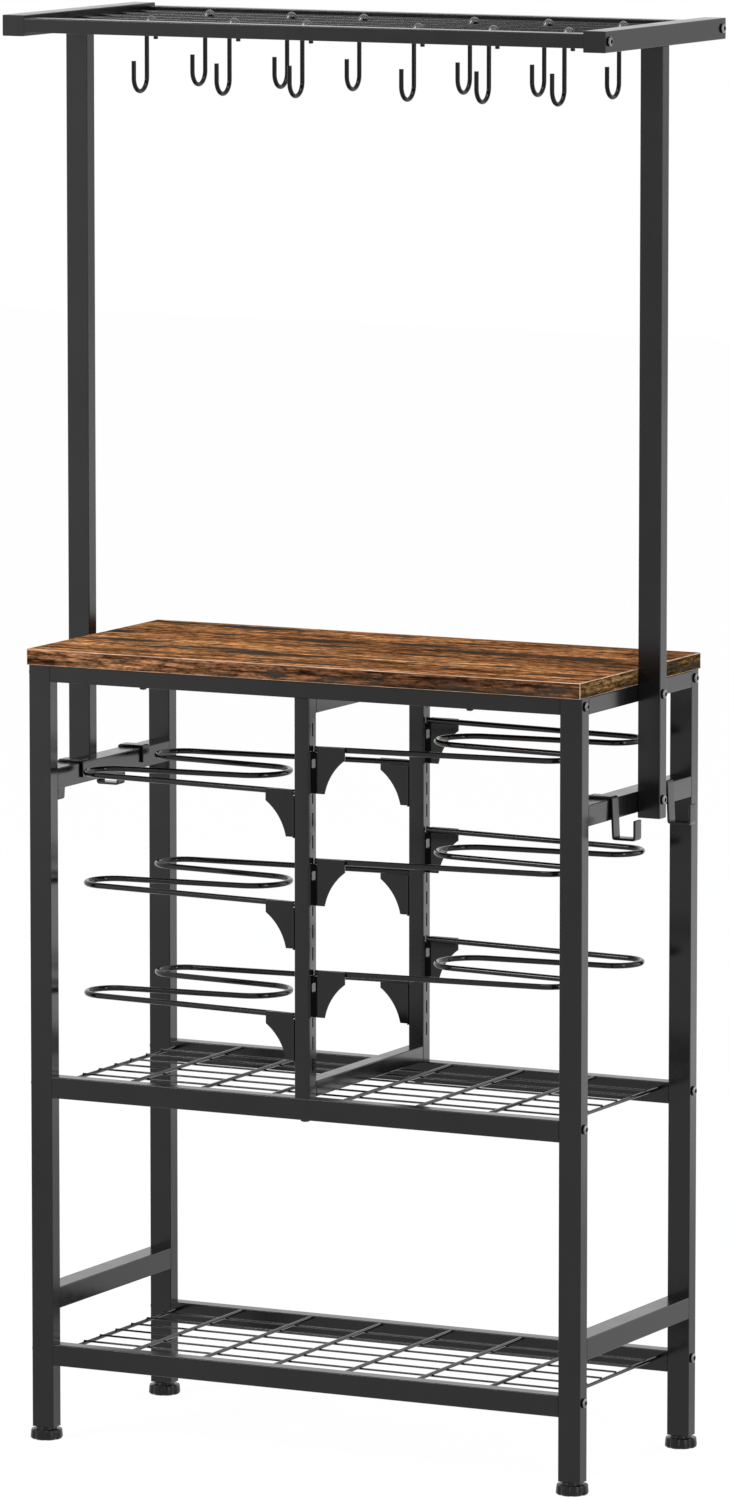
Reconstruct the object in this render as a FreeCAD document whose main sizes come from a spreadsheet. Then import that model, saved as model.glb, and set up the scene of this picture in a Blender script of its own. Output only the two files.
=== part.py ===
import FreeCAD, Part
import math
import os
import Sketcher

# Bakers rack: a tubular steel frame with two wire shelves, a worktop, a gantry with a wire
# rack and S-hooks, hooks on the side rails, and a slotted divider that carries wire pan holders.
# Millimetres. Origin on the floor under the centre of the rack, +X right, +Y back, +Z up.

SIZES = {
    # outline of the frame
    "frame_wide": 741.0,
    "frame_deep": 324.0,
    "leg_bottom": 16.2,
    "board_wide": 741.0,
    "board_deep": 335.0,
    "board_thick": 19.5,
    "board_edge": 0.6,
    # rectangular tube
    "leg_wide": 29.0,
    "leg_deep": 19.5,
    "rail_deep": 19.5,
    "tube_wall": 1.2,
    "tube_corner": 1.0,
    "plate_thick": 3.0,
    "cap_thick": 1.5,
    # rails, each with its top and its height
    "worktop_rail_top": 952.2,
    "worktop_rail_tall": 20.2,
    "hook_rail_top": 824.6,
    "hook_rail_tall": 25.3,
    "shelf_rail_tall": 26.3,
    "middle_rail_top": 449.2,
    "bottom_rail_top": 118.9,
    "low_side_top": 186.9,
    # gantry over the worktop
    "gantry_wide": 800.0,
    "gantry_deep": 332.0,
    "gantry_top": 1734.7,
    "gantry_side_tall": 25.3,
    "gantry_rail_top": 1731.2,
    "gantry_rail_tall": 17.2,
    "post_deep": 18.5,
    "post_bottom": 793.2,
    # wires of the two shelves
    "cross_wire_radius": 2.25,
    "long_wire_radius": 1.25,
    "middle_wire_drop": 1.6,
    "bottom_wire_drop": 2.4,
    "cross_to_long": 2.85,
    "cross_wire_pitch": 96.6,
    "cross_wire_last": 331.0,
    "long_wire_pitch": 40.5,
    "long_wire_reach": 331.5,
    # wires of the gantry rack
    "rack_wire_radius": 2.0,
    "rack_wire_height": 1725.2,
    "rack_wire_pitch": 49.7,
    "rack_cross_pitch": 49.1,
    "rack_wire_sink": 3.2,
    # bolts, screws and their holes
    "bolt_high": 942.5,
    "bolt_middle": 439.5,
    "bolt_low": 110.7,
    "post_bolt_high": 942.0,
    "post_bolt_low": 815.5,
    "gantry_bolt": 1722.5,
    "bolt_hole": 3.2,
    "bolt_shank": 2.75,
    "bolt_shank_long": 35.0,
    "bolt_head": 5.7,
    "bolt_head_tall": 3.3,
    "bolt_crown": 0.7,
    "access_hole": 6.5,
    "screw_spread": 219.0,
    "screw_radius": 1.9,
    "screw_hole": 2.3,
    "screw_head": 4.2,
    "screw_bite": 12.0,
    # feet and the plugs that hold them
    "foot_radius": 19.3,
    "foot_lobe": 0.6,
    "foot_base_scale": 0.93,
    "foot_top_scale": 0.95,
    "foot_tall": 12.2,
    "foot_edge": 2.0,
    "hub_radius": 13.0,
    "hub_top": 15.0,
    "stud_radius": 4.0,
    "stud_top": 40.0,
    "plug_rim": 1.0,
    "plug_tall": 22.0,
    "plug_bore": 4.2,
    # S-hooks
    "hook_wire": 2.75,
    "hook_loop": 11.3,
    "hook_mouth": 16.5,
    "hook_top": 1733.0,
    "hook_long": 91.8,
    "hook_end_drop": 28.7,
    "hook_tip_rise": 39.8,
    # flat hooks on the side rails
    "flat_wide": 17.0,
    "flat_thick": 3.0,
    "flat_gap": 0.3,
    "flat_inner_leg": 18.0,
    "flat_bottom": 776.2,
    "flat_reach": 33.1,
    "flat_tip": 800.4,
    "flat_lean": 2.4,
    "flat_place": 77.0,
    "flat_tight_bend": 1.0,
    "flat_wide_bend": 3.6,
    # divider
    "divider_size": 20.0,
    "divider_wall": 1.5,
    "divider_bar_tall": 19.3,
    "slot_wide": 3.0,
    "slot_long": 16.0,
    "slot_first": 893.8,
    "slot_pitch": 27.0,
    # pan holders, drawn for the right bay with their tops at zero height
    "holder_first_right": 874.2,
    "holder_first_left": 820.2,
    "holder_pitch": 135.0,
    "pan_wire": 3.5,
    "pan_wire_start": 149.3,
    "pan_outer_x": 294.0,
    "pan_outer_y": 90.9,
    "pan_outer_bend": 32.5,
    "pan_inner_x": 149.0,
    "pan_inner_bend": 44.5,
    "web_thick": 2.0,
    "web_reach": 53.2,
    "web_nose": 15.0,
    "web_tall": 57.0,
    "web_foot": 26.0,
    "web_arc": 67.5,
    "web_notch_reach": 16.5,
    "flange_gap": 0.2,
    "flange_face": 12.0,
    "window_top": 15.2,
    "window_bottom": 26.6,
    "window_wide": 12.0,
    "tab_top": 7.1,
    "tab_tall": 8.0,
    "tab_hook": 5.5,
    "tab_gap": 0.4,
    "tab_end": 6.2,
}

SLOT_COUNT = 16
HOOK_WIRE = 1.5
HOOK_PLACES = [-247.0, -135.1, -37.3, 111.1, 209.8, 308.4]
LOBES = 8
FOOT_POINTS = 24
WIRE_SIDES = 6
HOLE_SIDES = 6
LOOP_STEPS = 6
MOUTH_STEPS = 6
PAN_STEPS = 5
FLAT_STEPS = 2
SIDES = {"left": -1, "right": 1}
ENDS = {"front": -1, "back": 1}

Vector = FreeCAD.Vector
Rotation = FreeCAD.Rotation
Placement = FreeCAD.Placement
X_AXIS = Vector(1, 0, 0)
Y_AXIS = Vector(0, 1, 0)
Z_AXIS = Vector(0, 0, 1)

doc = FreeCAD.newDocument("bakers_rack")
sheet = doc.addObject("Spreadsheet::Sheet", "sizes")
for row, (alias, number) in enumerate(SIZES.items(), start=1):
    sheet.set("A%d" % row, alias.replace("_", " "))
    sheet.set("B%d" % row, str(number))
    sheet.setAlias("B%d" % row, alias)
doc.recompute()

nodes = []


def size(text):
    """The number that an expression over the sheet's aliases has now."""
    return float(sheet.evalExpression(text))


def node(thing, label):
    """Name one sub-part; its label is the name of its file."""
    thing.Label = label
    nodes.append(thing)
    return thing


def place(thing, x="0", y="0", z="0", turn=0.0):
    """Bind where a sub-part stands, and turn it about the upright axis."""
    thing.Placement = Placement(Vector(), Rotation(Z_AXIS, turn))
    for letter, text in zip("xyz", (x, y, z)):
        thing.setExpression("Placement.Base." + letter, text)


# Sketches and the features made of them

def origin_plane(body, role):
    return [plane for plane in body.Origin.OriginFeatures if plane.Role == role][0]


def new_sketch(body, role, offset="0"):
    """A sketch on one of the body's own origin planes, lifted along the plane's normal."""
    sketch = body.newObject("Sketcher::SketchObject", "sketch")
    sketch.AttachmentSupport = [(origin_plane(body, role), "")]
    sketch.MapMode = "FlatFace"
    sketch.setExpression("AttachmentOffset.Base.z", offset)
    return sketch


def outline(sketch, corners, arcs=None):
    """A closed outline through corners given as pairs of expressions.

    arcs maps the number of a side to the expression of its radius; such a side bulges to
    the left of the way round."""
    arcs = arcs or {}
    points = [Vector(size(x), size(y), 0) for x, y in corners]
    first = sketch.GeometryCount
    ends = []
    for number, start in enumerate(points):
        stop = points[(number + 1) % len(points)]
        if number in arcs:
            ends.append(add_hollow_arc(sketch, start, stop, size(arcs[number])))
        else:
            sketch.addGeometry(Part.LineSegment(start, stop))
            ends.append((1, 2))
    for number in range(len(corners)):
        following = (number + 1) % len(corners)
        sketch.addConstraint(Sketcher.Constraint(
            "Coincident", first + number, ends[number][1], first + following, ends[following][0]))
    for number, (x, y) in enumerate(corners):
        for kind, text, value in (("DistanceX", x, points[number].x), ("DistanceY", y, points[number].y)):
            index = sketch.addConstraint(Sketcher.Constraint(
                kind, -1, 1, first + number, ends[number][0], value))
            sketch.setExpression("Constraints[%d]" % index, text)
    for number, radius in arcs.items():
        index = sketch.addConstraint(Sketcher.Constraint("Radius", first + number, size(radius)))
        sketch.setExpression("Constraints[%d]" % index, radius)


def add_hollow_arc(sketch, start, stop, radius):
    """An arc between two corners whose middle lies to the left of the way from one to the other.

    It runs anticlockwise from stop to start, so its own ends come in the other order."""
    chord = stop - start
    half = chord.Length / 2
    left = Vector(-chord.y, chord.x, 0) / chord.Length
    centre = (start + stop) / 2 - left * math.sqrt(radius ** 2 - half ** 2)
    from_angle = math.atan2(stop.y - centre.y, stop.x - centre.x)
    to_angle = math.atan2(start.y - centre.y, start.x - centre.x)
    if to_angle < from_angle:
        to_angle += 2 * math.pi
    sketch.addGeometry(Part.ArcOfCircle(Part.Circle(centre, Z_AXIS, radius), from_angle, to_angle))
    return (2, 1)


def rectangle(sketch, wide, tall, x="0", y="0"):
    """A rectangle of the given size about a point, all as expressions."""
    left = "(%s) - (%s) / 2" % (x, wide)
    right = "(%s) + (%s) / 2" % (x, wide)
    low = "(%s) - (%s) / 2" % (y, tall)
    high = "(%s) + (%s) / 2" % (y, tall)
    outline(sketch, [(left, low), (right, low), (right, high), (left, high)])


def ring(sketch, radius, x="0", y="0", sides=8):
    """An even-sided ring about a point, its flats at the given radius, all as expressions."""
    corner = 1 / math.cos(math.pi / sides)
    corners = []
    for number in range(sides):
        angle = 2 * math.pi * (number + 0.5) / sides
        u, v = corner * math.cos(angle), corner * math.sin(angle)
        corners.append(("(%s) + %.5f * (%s)" % (x, u, radius), "(%s) + %.5f * (%s)" % (y, v, radius)))
    outline(sketch, corners)


def pad(body, sketch, length, both_ways=False):
    """A pad of a sketch along its normal, or half of it each way."""
    feature = body.newObject("PartDesign::Pad", "pad")
    feature.Profile = sketch
    feature.setExpression("Length", length)
    feature.Midplane = both_ways
    return feature


def drill(body, role, holes, walls="both"):
    """Holes square to an origin plane, given as (radius, x, y).

    walls says which walls they go through: both, or only the one on the plus or minus side."""
    doc.recompute()
    before = body.Shape.Volume
    sketch = new_sketch(body, role)
    for hole in holes:
        ring(sketch, *hole, sides=HOLE_SIDES)
    cut = body.newObject("PartDesign::Pocket", "holes")
    cut.Profile = sketch
    cut.Type = "ThroughAll"
    cut.Midplane = walls == "both"
    cut.Reversed = walls == "plus"
    doc.recompute()
    if not body.Shape.Volume < before - 1.0:
        raise RuntimeError("holes in %s cut nothing" % body.Label)


# Rectangular tube

TUBE_PLANES = {"x": "YZ_Plane", "y": "XZ_Plane", "z": "XY_Plane"}


def tube(label, along, wide, tall, length, start=None, wall="sizes.tube_wall"):
    """A piece of rectangular tube with its long edges taken off.

    It runs both ways from the body's origin, or from start when a start is given."""
    body = doc.addObject("PartDesign::Body", label)
    section = new_sketch(body, TUBE_PLANES[along], start or "0")
    rectangle(section, wide, tall)
    rectangle(section, "%s - 2 * %s" % (wide, wall), "%s - 2 * %s" % (tall, wall))
    pad(body, section, length, both_ways=start is None)
    doc.recompute()
    ease_long_edges(body, along, size(wide) / 2, size(tall) / 2)
    return node(body, label)


def ease_long_edges(body, along, half_wide, half_tall):
    """Take off the four outer edges that run along a tube."""
    across = {"x": ("y", "z"), "y": ("x", "z"), "z": ("x", "y")}[along]
    chosen = []
    for number, edge in enumerate(body.Shape.Edges, start=1):
        low, high = edge.Vertexes[0].Point, edge.Vertexes[-1].Point
        straight_along = abs(getattr(low, along) - getattr(high, along)) > half_tall
        outside = abs(abs(getattr(low, across[0])) - half_wide) < 0.01
        outside = outside and abs(abs(getattr(low, across[1])) - half_tall) < 0.01
        same = abs(getattr(low, across[0]) - getattr(high, across[0])) < 0.01
        same = same and abs(getattr(low, across[1]) - getattr(high, across[1])) < 0.01
        if straight_along and outside and same:
            chosen.append("Edge%d" % number)
    square = body.Tip
    corners = body.newObject("PartDesign::Chamfer", "corners")
    corners.Base = (square, chosen)
    corners.setExpression("Size", "sizes.tube_corner")


def end_plates(body, along, wide, tall, thick, offset, hole=None, mirror=True):
    """Plates inside the ends of a tube, with a threaded hole where a bolt bites."""
    wall = "sizes.tube_wall"
    sketch = new_sketch(body, TUBE_PLANES[along], offset)
    rectangle(sketch, "%s - 2 * %s" % (wide, wall), "%s - 2 * %s" % (tall, wall))
    if hole:
        ring(sketch, "sizes.bolt_hole", *hole, sides=HOLE_SIDES)
    plate = pad(body, sketch, thick)
    if mirror:
        other = body.newObject("PartDesign::Mirrored", "other_end")
        other.Originals = [plate]
        other.MirrorPlane = (origin_plane(body, TUBE_PLANES[along]), [""])
        body.Tip = other


def build_legs():
    for end, y_sign in ENDS.items():
        for side, x_sign in SIDES.items():
            leg = tube("leg_%s_%s" % (end, side), "z", "sizes.leg_wide", "sizes.leg_deep",
                       "sizes.worktop_rail_top - sizes.leg_bottom", start="sizes.leg_bottom")
            heights = ("sizes.bolt_low", "sizes.bolt_middle", "sizes.bolt_high")
            drill(leg, "YZ_Plane", [("sizes.bolt_hole", "0", height) for height in heights])
            place(leg, "%d * (sizes.frame_wide - sizes.leg_wide) / 2" % x_sign,
                  "%d * (sizes.frame_deep - sizes.leg_deep) / 2" % y_sign)


def build_side_rails():
    length = "sizes.frame_deep - 2 * sizes.leg_deep"
    rails = [
        ("top_side_rail", "sizes.worktop_rail_top", "sizes.worktop_rail_tall", "sizes.post_bolt_high"),
        ("hook_rail", "sizes.hook_rail_top", "sizes.hook_rail_tall", "sizes.post_bolt_low"),
        ("lower_side_rail", "sizes.low_side_top", "sizes.shelf_rail_tall", None),
    ]
    for name, top, tall, bolt in rails:
        for side, x_sign in SIDES.items():
            rail = tube("%s_%s" % (name, side), "y", "sizes.leg_wide", tall, length)
            middle = "%s - %s / 2" % (top, tall)
            if bolt:
                outer_wall = "plus" if x_sign > 0 else "minus"
                drill(rail, "YZ_Plane", [("sizes.bolt_hole", "0", "%s - (%s)" % (bolt, middle))], outer_wall)
            place(rail, "%d * (sizes.frame_wide - sizes.leg_wide) / 2" % x_sign, "0", middle)


def build_front_and_back_rails():
    length = "sizes.frame_wide - 2 * sizes.leg_wide"
    rails = [
        ("top_rail", "sizes.worktop_rail_top", "sizes.worktop_rail_tall", "sizes.bolt_high"),
        ("middle_rail", "sizes.middle_rail_top", "sizes.shelf_rail_tall", "sizes.bolt_middle"),
        ("bottom_rail", "sizes.bottom_rail_top", "sizes.shelf_rail_tall", "sizes.bolt_low"),
    ]
    for name, top, tall, bolt in rails:
        for end, y_sign in ENDS.items():
            rail = tube("%s_%s" % (name, end), "x", "sizes.rail_deep", tall, length)
            middle = "%s - %s / 2" % (top, tall)
            end_plates(rail, "x", "sizes.rail_deep", tall, "sizes.plate_thick",
                       "(%s) / 2 - sizes.plate_thick" % length, hole=("0", "%s - (%s)" % (bolt, middle)))
            if name == "top_rail":
                screws = [("sizes.screw_hole", "%d * sizes.screw_spread" % sign, "0") for sign in (-1, 1)]
                drill(rail, "XY_Plane", screws + [("sizes.bolt_hole", "0", "0")])
                drill(rail, "XY_Plane", [("sizes.access_hole", "0", "0")], "plus")
            if name == "middle_rail":
                drill(rail, "XY_Plane", [("sizes.bolt_hole", "0", "0")])
            place(rail, "0", "%d * (sizes.frame_deep - sizes.rail_deep) / 2" % y_sign, middle)


def build_worktop():
    board = doc.addObject("PartDesign::Body", "worktop")
    plan = new_sketch(board, "XY_Plane")
    rectangle(plan, "sizes.board_wide", "sizes.board_deep")
    pad(board, plan, "sizes.board_thick")
    doc.recompute()
    slab = board.Tip
    edges = board.newObject("PartDesign::Chamfer", "edges")
    edges.Base = (slab, ["Edge%d" % (number + 1) for number in range(len(slab.Shape.Edges))])
    edges.setExpression("Size", "sizes.board_edge")
    pilots = new_sketch(board, "XY_Plane")
    for x_sign in SIDES.values():
        for y_sign in ENDS.values():
            ring(pilots, "sizes.screw_hole", "%d * sizes.screw_spread" % x_sign,
                 "%d * (sizes.frame_deep - sizes.rail_deep) / 2" % y_sign, sides=HOLE_SIDES)
    doc.recompute()
    solid_volume = board.Shape.Volume
    bores = board.newObject("PartDesign::Pocket", "pilot_holes")
    bores.Profile = pilots
    bores.Reversed = True
    bores.setExpression("Length", "sizes.screw_bite + 1")
    doc.recompute()
    if not board.Shape.Volume < solid_volume - 1.0:
        raise RuntimeError("pilot holes cut nothing")
    place(board, z="sizes.worktop_rail_top")
    node(board, "worktop")


def build_gantry():
    side_middle = "sizes.gantry_top - sizes.gantry_side_tall / 2"
    rail_middle = "sizes.gantry_rail_top - sizes.gantry_rail_tall / 2"
    rail_y = "(sizes.gantry_deep - sizes.rail_deep) / 2"
    for side, x_sign in SIDES.items():
        rail = tube("gantry_side_rail_" + side, "y", "sizes.leg_wide", "sizes.gantry_side_tall",
                    "sizes.gantry_deep")
        end_plates(rail, "y", "sizes.leg_wide", "sizes.gantry_side_tall", "sizes.cap_thick",
                   "sizes.gantry_deep / 2 - sizes.cap_thick")
        height = "sizes.gantry_bolt - (%s)" % side_middle
        drill(rail, "YZ_Plane", [("sizes.bolt_hole", "%d * %s" % (sign, rail_y), height) for sign in (-1, 1)])
        place(rail, "%d * (sizes.gantry_wide - sizes.leg_wide) / 2" % x_sign, "0", side_middle)

        post = tube("post_" + side, "z", "sizes.leg_wide + 0.3", "sizes.post_deep",
                    "sizes.gantry_top - sizes.gantry_side_tall - sizes.post_bottom",
                    start="sizes.post_bottom")
        end_plates(post, "z", "sizes.leg_wide + 0.3", "sizes.post_deep", "sizes.cap_thick",
                   "sizes.post_bottom", mirror=False)
        heights = ("sizes.post_bolt_high", "sizes.post_bolt_low")
        drill(post, "YZ_Plane", [("sizes.bolt_hole", "0", height) for height in heights])
        place(post, "%d * (sizes.frame_wide + sizes.leg_wide + 0.3) / 2" % x_sign)

    length = "sizes.gantry_wide - 2 * sizes.leg_wide"
    for end, y_sign in ENDS.items():
        rail = tube("gantry_rail_" + end, "x", "sizes.rail_deep", "sizes.gantry_rail_tall", length)
        end_plates(rail, "x", "sizes.rail_deep", "sizes.gantry_rail_tall", "sizes.plate_thick",
                   "(%s) / 2 - sizes.plate_thick" % length,
                   hole=("0", "sizes.gantry_bolt - (%s)" % rail_middle))
        place(rail, "0", "%d * %s" % (y_sign, rail_y), rail_middle)


# Wire grids: straight round wires, welded where they cross

def wire(along, radius, length, across, height, turned=False):
    """One straight wire through the middle plane of the rack.

    It is six-sided, or truly round where something turns on it."""
    if turned:
        rod = doc.addObject("Part::Cylinder", "wire")
        rod.setExpression("Radius", radius)
    else:
        rod = doc.addObject("Part::Prism", "wire")
        rod.Polygon = WIRE_SIDES
        rod.setExpression("Circumradius", radius)
    rod.setExpression("Height", length)
    if along == "x":
        rod.Placement = Placement(Vector(), Rotation(Y_AXIS, 90))
        start = {"x": "-(%s) / 2" % length, "y": across, "z": height}
    else:
        rod.Placement = Placement(Vector(), Rotation(X_AXIS, -90))
        start = {"x": across, "y": "-(%s) / 2" % length, "z": height}
    for letter, text in start.items():
        rod.setExpression("Placement.Base." + letter, text)
    return rod


def build_grid(label, wires):
    grid = doc.addObject("Part::Compound", label)
    grid.Links = wires
    node(grid, label)


def build_shelf_grid(label, rail_top, drop):
    """Six cross wires on six long wires, and one more under the long wires at each end."""
    span = "sizes.frame_deep - 2 * sizes.rail_deep"
    cross_height = "%s - %s" % (rail_top, drop)
    places = ["%g * sizes.cross_wire_pitch" % (number + 0.5) for number in range(-3, 3)]
    wires = [wire("y", "sizes.cross_wire_radius", span, across, cross_height) for across in places]
    for x_sign in SIDES.values():
        wires.append(wire("y", "sizes.cross_wire_radius", span, "%d * sizes.cross_wire_last" % x_sign,
                          "%s - 2 * sizes.cross_to_long" % cross_height))
    for number in range(-3, 3):
        wires.append(wire("x", "sizes.long_wire_radius", "2 * sizes.long_wire_reach",
                          "%g * sizes.long_wire_pitch" % (number + 0.5),
                          "%s - sizes.cross_to_long" % cross_height))
    build_grid(label, wires)


def build_rack_grid():
    """Six long wires that carry the hooks, on fourteen cross wires."""
    long_span = "sizes.gantry_wide - 2 * sizes.leg_wide"
    cross_span = "sizes.gantry_deep - 2 * sizes.rail_deep"
    wires = []
    for number in range(-3, 3):
        place_across = number + 0.5
        wires.append(wire("x", "sizes.rack_wire_radius", long_span,
                          "%g * sizes.rack_wire_pitch" % place_across, "sizes.rack_wire_height",
                          turned=abs(place_across) == HOOK_WIRE))
    for number in range(-7, 7):
        wires.append(wire("y", "sizes.rack_wire_radius", cross_span,
                          "%g * sizes.rack_cross_pitch" % (number + 0.5),
                          "sizes.rack_wire_height - sizes.rack_wire_sink"))
    build_grid("rack_grid", wires)


# Bolts and screws

def fastener(label, head_radius, head_tall, shank_radius, shank_long):
    """A button-head fastener along +X, its head's flat side at the origin."""
    body = doc.addObject("PartDesign::Body", label)
    foot_ring = new_sketch(body, "YZ_Plane")
    ring(foot_ring, head_radius)
    crown_ring = new_sketch(body, "YZ_Plane", head_tall)
    ring(crown_ring, "%s * sizes.bolt_crown" % head_radius)
    head = body.newObject("PartDesign::AdditiveLoft", "head")
    head.Profile = foot_ring
    head.Sections = [crown_ring]
    head.Ruled = True
    shank_ring = new_sketch(body, "YZ_Plane", "-(%s)" % shank_long)
    ring(shank_ring, shank_radius, sides=HOLE_SIDES)
    pad(body, shank_ring, shank_long)
    return body


def fastener_group(label, master, places):
    """Copies of one fastener, each given as (turning, x, y, z)."""
    copies = []
    for turning, x, y, z in places:
        copy = doc.addObject("App::Link", label + "_copy")
        copy.LinkedObject = master
        copy.LinkPlacement = Placement(Vector(size(x), size(y), size(z)), turning)
        copies.append(copy)
    group = doc.addObject("Part::Compound", label)
    group.Links = copies
    node(group, label)


def build_fasteners():
    outward = {-1: Rotation(Z_AXIS, 180), 1: Rotation()}
    bolt = fastener("bolt", "sizes.bolt_head", "sizes.bolt_head_tall",
                    "sizes.bolt_shank", "sizes.bolt_shank_long")
    places = []
    for x_sign in SIDES.values():
        leg_face = "%d * sizes.frame_wide / 2" % x_sign
        post_face = "%d * (sizes.frame_wide / 2 + sizes.leg_wide + 0.3)" % x_sign
        gantry_face = "%d * sizes.gantry_wide / 2" % x_sign
        for y_sign in ENDS.values():
            leg_y = "%d * (sizes.frame_deep - sizes.leg_deep) / 2" % y_sign
            for height in ("sizes.bolt_low", "sizes.bolt_middle", "sizes.bolt_high"):
                places.append((outward[x_sign], leg_face, leg_y, height))
            gantry_y = "%d * (sizes.gantry_deep - sizes.rail_deep) / 2" % y_sign
            places.append((outward[x_sign], gantry_face, gantry_y, "sizes.gantry_bolt"))
        for height in ("sizes.post_bolt_high", "sizes.post_bolt_low"):
            places.append((outward[x_sign], post_face, "0", height))
    fastener_group("frame_bolts", bolt, places)

    down = Rotation(Y_AXIS, 90)
    up = Rotation(Y_AXIS, -90)
    rail_y = "(sizes.frame_deep - sizes.rail_deep) / 2"
    under_middle = "sizes.middle_rail_top - sizes.shelf_rail_tall"
    in_top_rail = "sizes.worktop_rail_top - sizes.worktop_rail_tall + sizes.tube_wall"
    places = []
    for y_sign in ENDS.values():
        places.append((down, "0", "%d * %s" % (y_sign, rail_y), under_middle))
        places.append((up, "0", "%d * %s" % (y_sign, rail_y), in_top_rail))
    short = fastener("divider_bolt", "sizes.bolt_head", "sizes.bolt_head_tall",
                     "sizes.bolt_shank", "sizes.shelf_rail_tall + sizes.plate_thick + 4")
    fastener_group("divider_bolts", short, places)

    screw = fastener("screw", "sizes.screw_head", "sizes.bolt_head_tall", "sizes.screw_radius",
                     "sizes.worktop_rail_tall + sizes.screw_bite")
    places = []
    for x_sign in SIDES.values():
        for y_sign in ENDS.values():
            places.append((down, "%d * sizes.screw_spread" % x_sign, "%d * %s" % (y_sign, rail_y),
                           "sizes.worktop_rail_top - sizes.worktop_rail_tall"))
    fastener_group("worktop_screws", screw, places)


# Feet and plugs

def prism(corners, radius, low, high):
    """An upright prism with even sides, between two heights."""
    piece = doc.addObject("Part::Prism", "prism")
    piece.Polygon = corners
    piece.setExpression("Circumradius", radius)
    piece.setExpression("Height", "(%s) - (%s)" % (high, low))
    piece.setExpression("Placement.Base.z", low)
    return piece


def lobed_ring(scale, height):
    """The foot's lobed outline at one height."""
    lobes = doc.addObject("Part::Polygon", "lobes")
    points = []
    for number in range(FOOT_POINTS):
        angle = 2 * math.pi * number / FOOT_POINTS
        radius = scale * (size("sizes.foot_radius") + size("sizes.foot_lobe") * math.cos(LOBES * angle))
        points.append(Vector(radius * math.cos(angle), radius * math.sin(angle), height))
    lobes.Nodes = points
    lobes.Close = True
    return lobes


def build_feet():
    for end, y_sign in ENDS.items():
        for side, x_sign in SIDES.items():
            label = "foot_%s_%s" % (end, side)
            knob = doc.addObject("Part::Loft", "knob")
            edge = size("sizes.foot_edge")
            knob.Sections = [
                lobed_ring(size("sizes.foot_base_scale"), 0.0),
                lobed_ring(1.0, edge),
                lobed_ring(size("sizes.foot_top_scale"), size("sizes.foot_tall")),
            ]
            knob.Solid = True
            knob.Ruled = True
            foot = doc.addObject("Part::MultiFuse", label)
            foot.Shapes = [
                knob,
                prism(12, "sizes.hub_radius", "sizes.foot_tall - 1", "sizes.hub_top"),
                prism(8, "sizes.stud_radius", "sizes.hub_top - 1", "sizes.stud_top"),
            ]
            place(foot, "%d * (sizes.frame_wide - sizes.leg_wide) / 2" % x_sign,
                  "%d * (sizes.frame_deep - sizes.leg_deep) / 2" % y_sign)
            node(foot, label)


def build_leg_plugs():
    """A plug in each leg's open end, with a rim under the tube and a bore for the stud."""
    plug = doc.addObject("PartDesign::Body", "plug")
    rim = new_sketch(plug, "XY_Plane", "sizes.leg_bottom - sizes.plug_rim")
    rectangle(rim, "sizes.leg_wide - 0.4", "sizes.leg_deep - 0.4")
    ring(rim, "sizes.plug_bore")
    pad(plug, rim, "sizes.plug_rim")
    core = new_sketch(plug, "XY_Plane", "sizes.leg_bottom")
    rectangle(core, "sizes.leg_wide - 2 * sizes.tube_wall", "sizes.leg_deep - 2 * sizes.tube_wall")
    ring(core, "sizes.plug_bore")
    pad(plug, core, "sizes.plug_tall")
    places = []
    for x_sign in SIDES.values():
        for y_sign in ENDS.values():
            places.append((Rotation(), "%d * (sizes.frame_wide - sizes.leg_wide) / 2" % x_sign,
                           "%d * (sizes.frame_deep - sizes.leg_deep) / 2" % y_sign, "0"))
    fastener_group("leg_inserts", plug, places)


# Bent wire, its bends drawn as short straight pieces

def bend(centre, radius, from_angle, to_angle, steps):
    """Points round a bend in a plane, as (u, v) pairs, angles in degrees."""
    points = []
    for number in range(steps + 1):
        angle = math.radians(from_angle + (to_angle - from_angle) * number / steps)
        points.append((centre[0] + radius * math.cos(angle), centre[1] + radius * math.sin(angle)))
    return points


def bent_wire(points, radius):
    """A six-sided wire swept along a path of short runs with mitred corners."""
    path = doc.addObject("Part::Polygon", "path")
    path.Nodes = points
    section = doc.addObject("Part::RegularPolygon", "section")
    section.Polygon = WIRE_SIDES
    section.setExpression("Circumradius", radius)
    first_run = points[1] - points[0]
    turned = Rotation(Z_AXIS, first_run) * Rotation(Z_AXIS, 180 / WIRE_SIDES)
    section.Placement = Placement(points[0], turned)
    swept = doc.addObject("Part::Sweep", "bent_wire")
    swept.Sections = [section]
    swept.Spine = (path, [])
    swept.Solid = True
    swept.Transition = "Right corner"
    return swept


def build_s_hooks():
    """Twelve hooks; each has a closed-up loop over its wire and a wide mouth to the front."""
    loop = size("sizes.hook_loop")
    mouth = size("sizes.hook_mouth")
    radius = size("sizes.hook_wire")
    bottom = -size("sizes.hook_long")
    loop_height = -radius - loop
    mouth_height = bottom + radius + mouth
    mouth_centre = -loop - mouth
    flat = [(loop, -size("sizes.hook_end_drop"))]
    flat += bend((0.0, loop_height), loop, 0, 180, LOOP_STEPS)
    flat += bend((mouth_centre, mouth_height), mouth, 0, -180, MOUTH_STEPS)
    flat.append((mouth_centre - mouth, bottom + size("sizes.hook_tip_rise")))
    for end, y_sign in ENDS.items():
        for number, x in enumerate(HOOK_PLACES, start=1):
            hook = bent_wire([Vector(0, y, z) for y, z in flat], "sizes.hook_wire")
            place(hook, "%g" % x, "%g * sizes.rack_wire_pitch" % (HOOK_WIRE * y_sign), "sizes.hook_top")
            node(hook, "s_hook_%s_%d" % (end, number))


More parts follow.
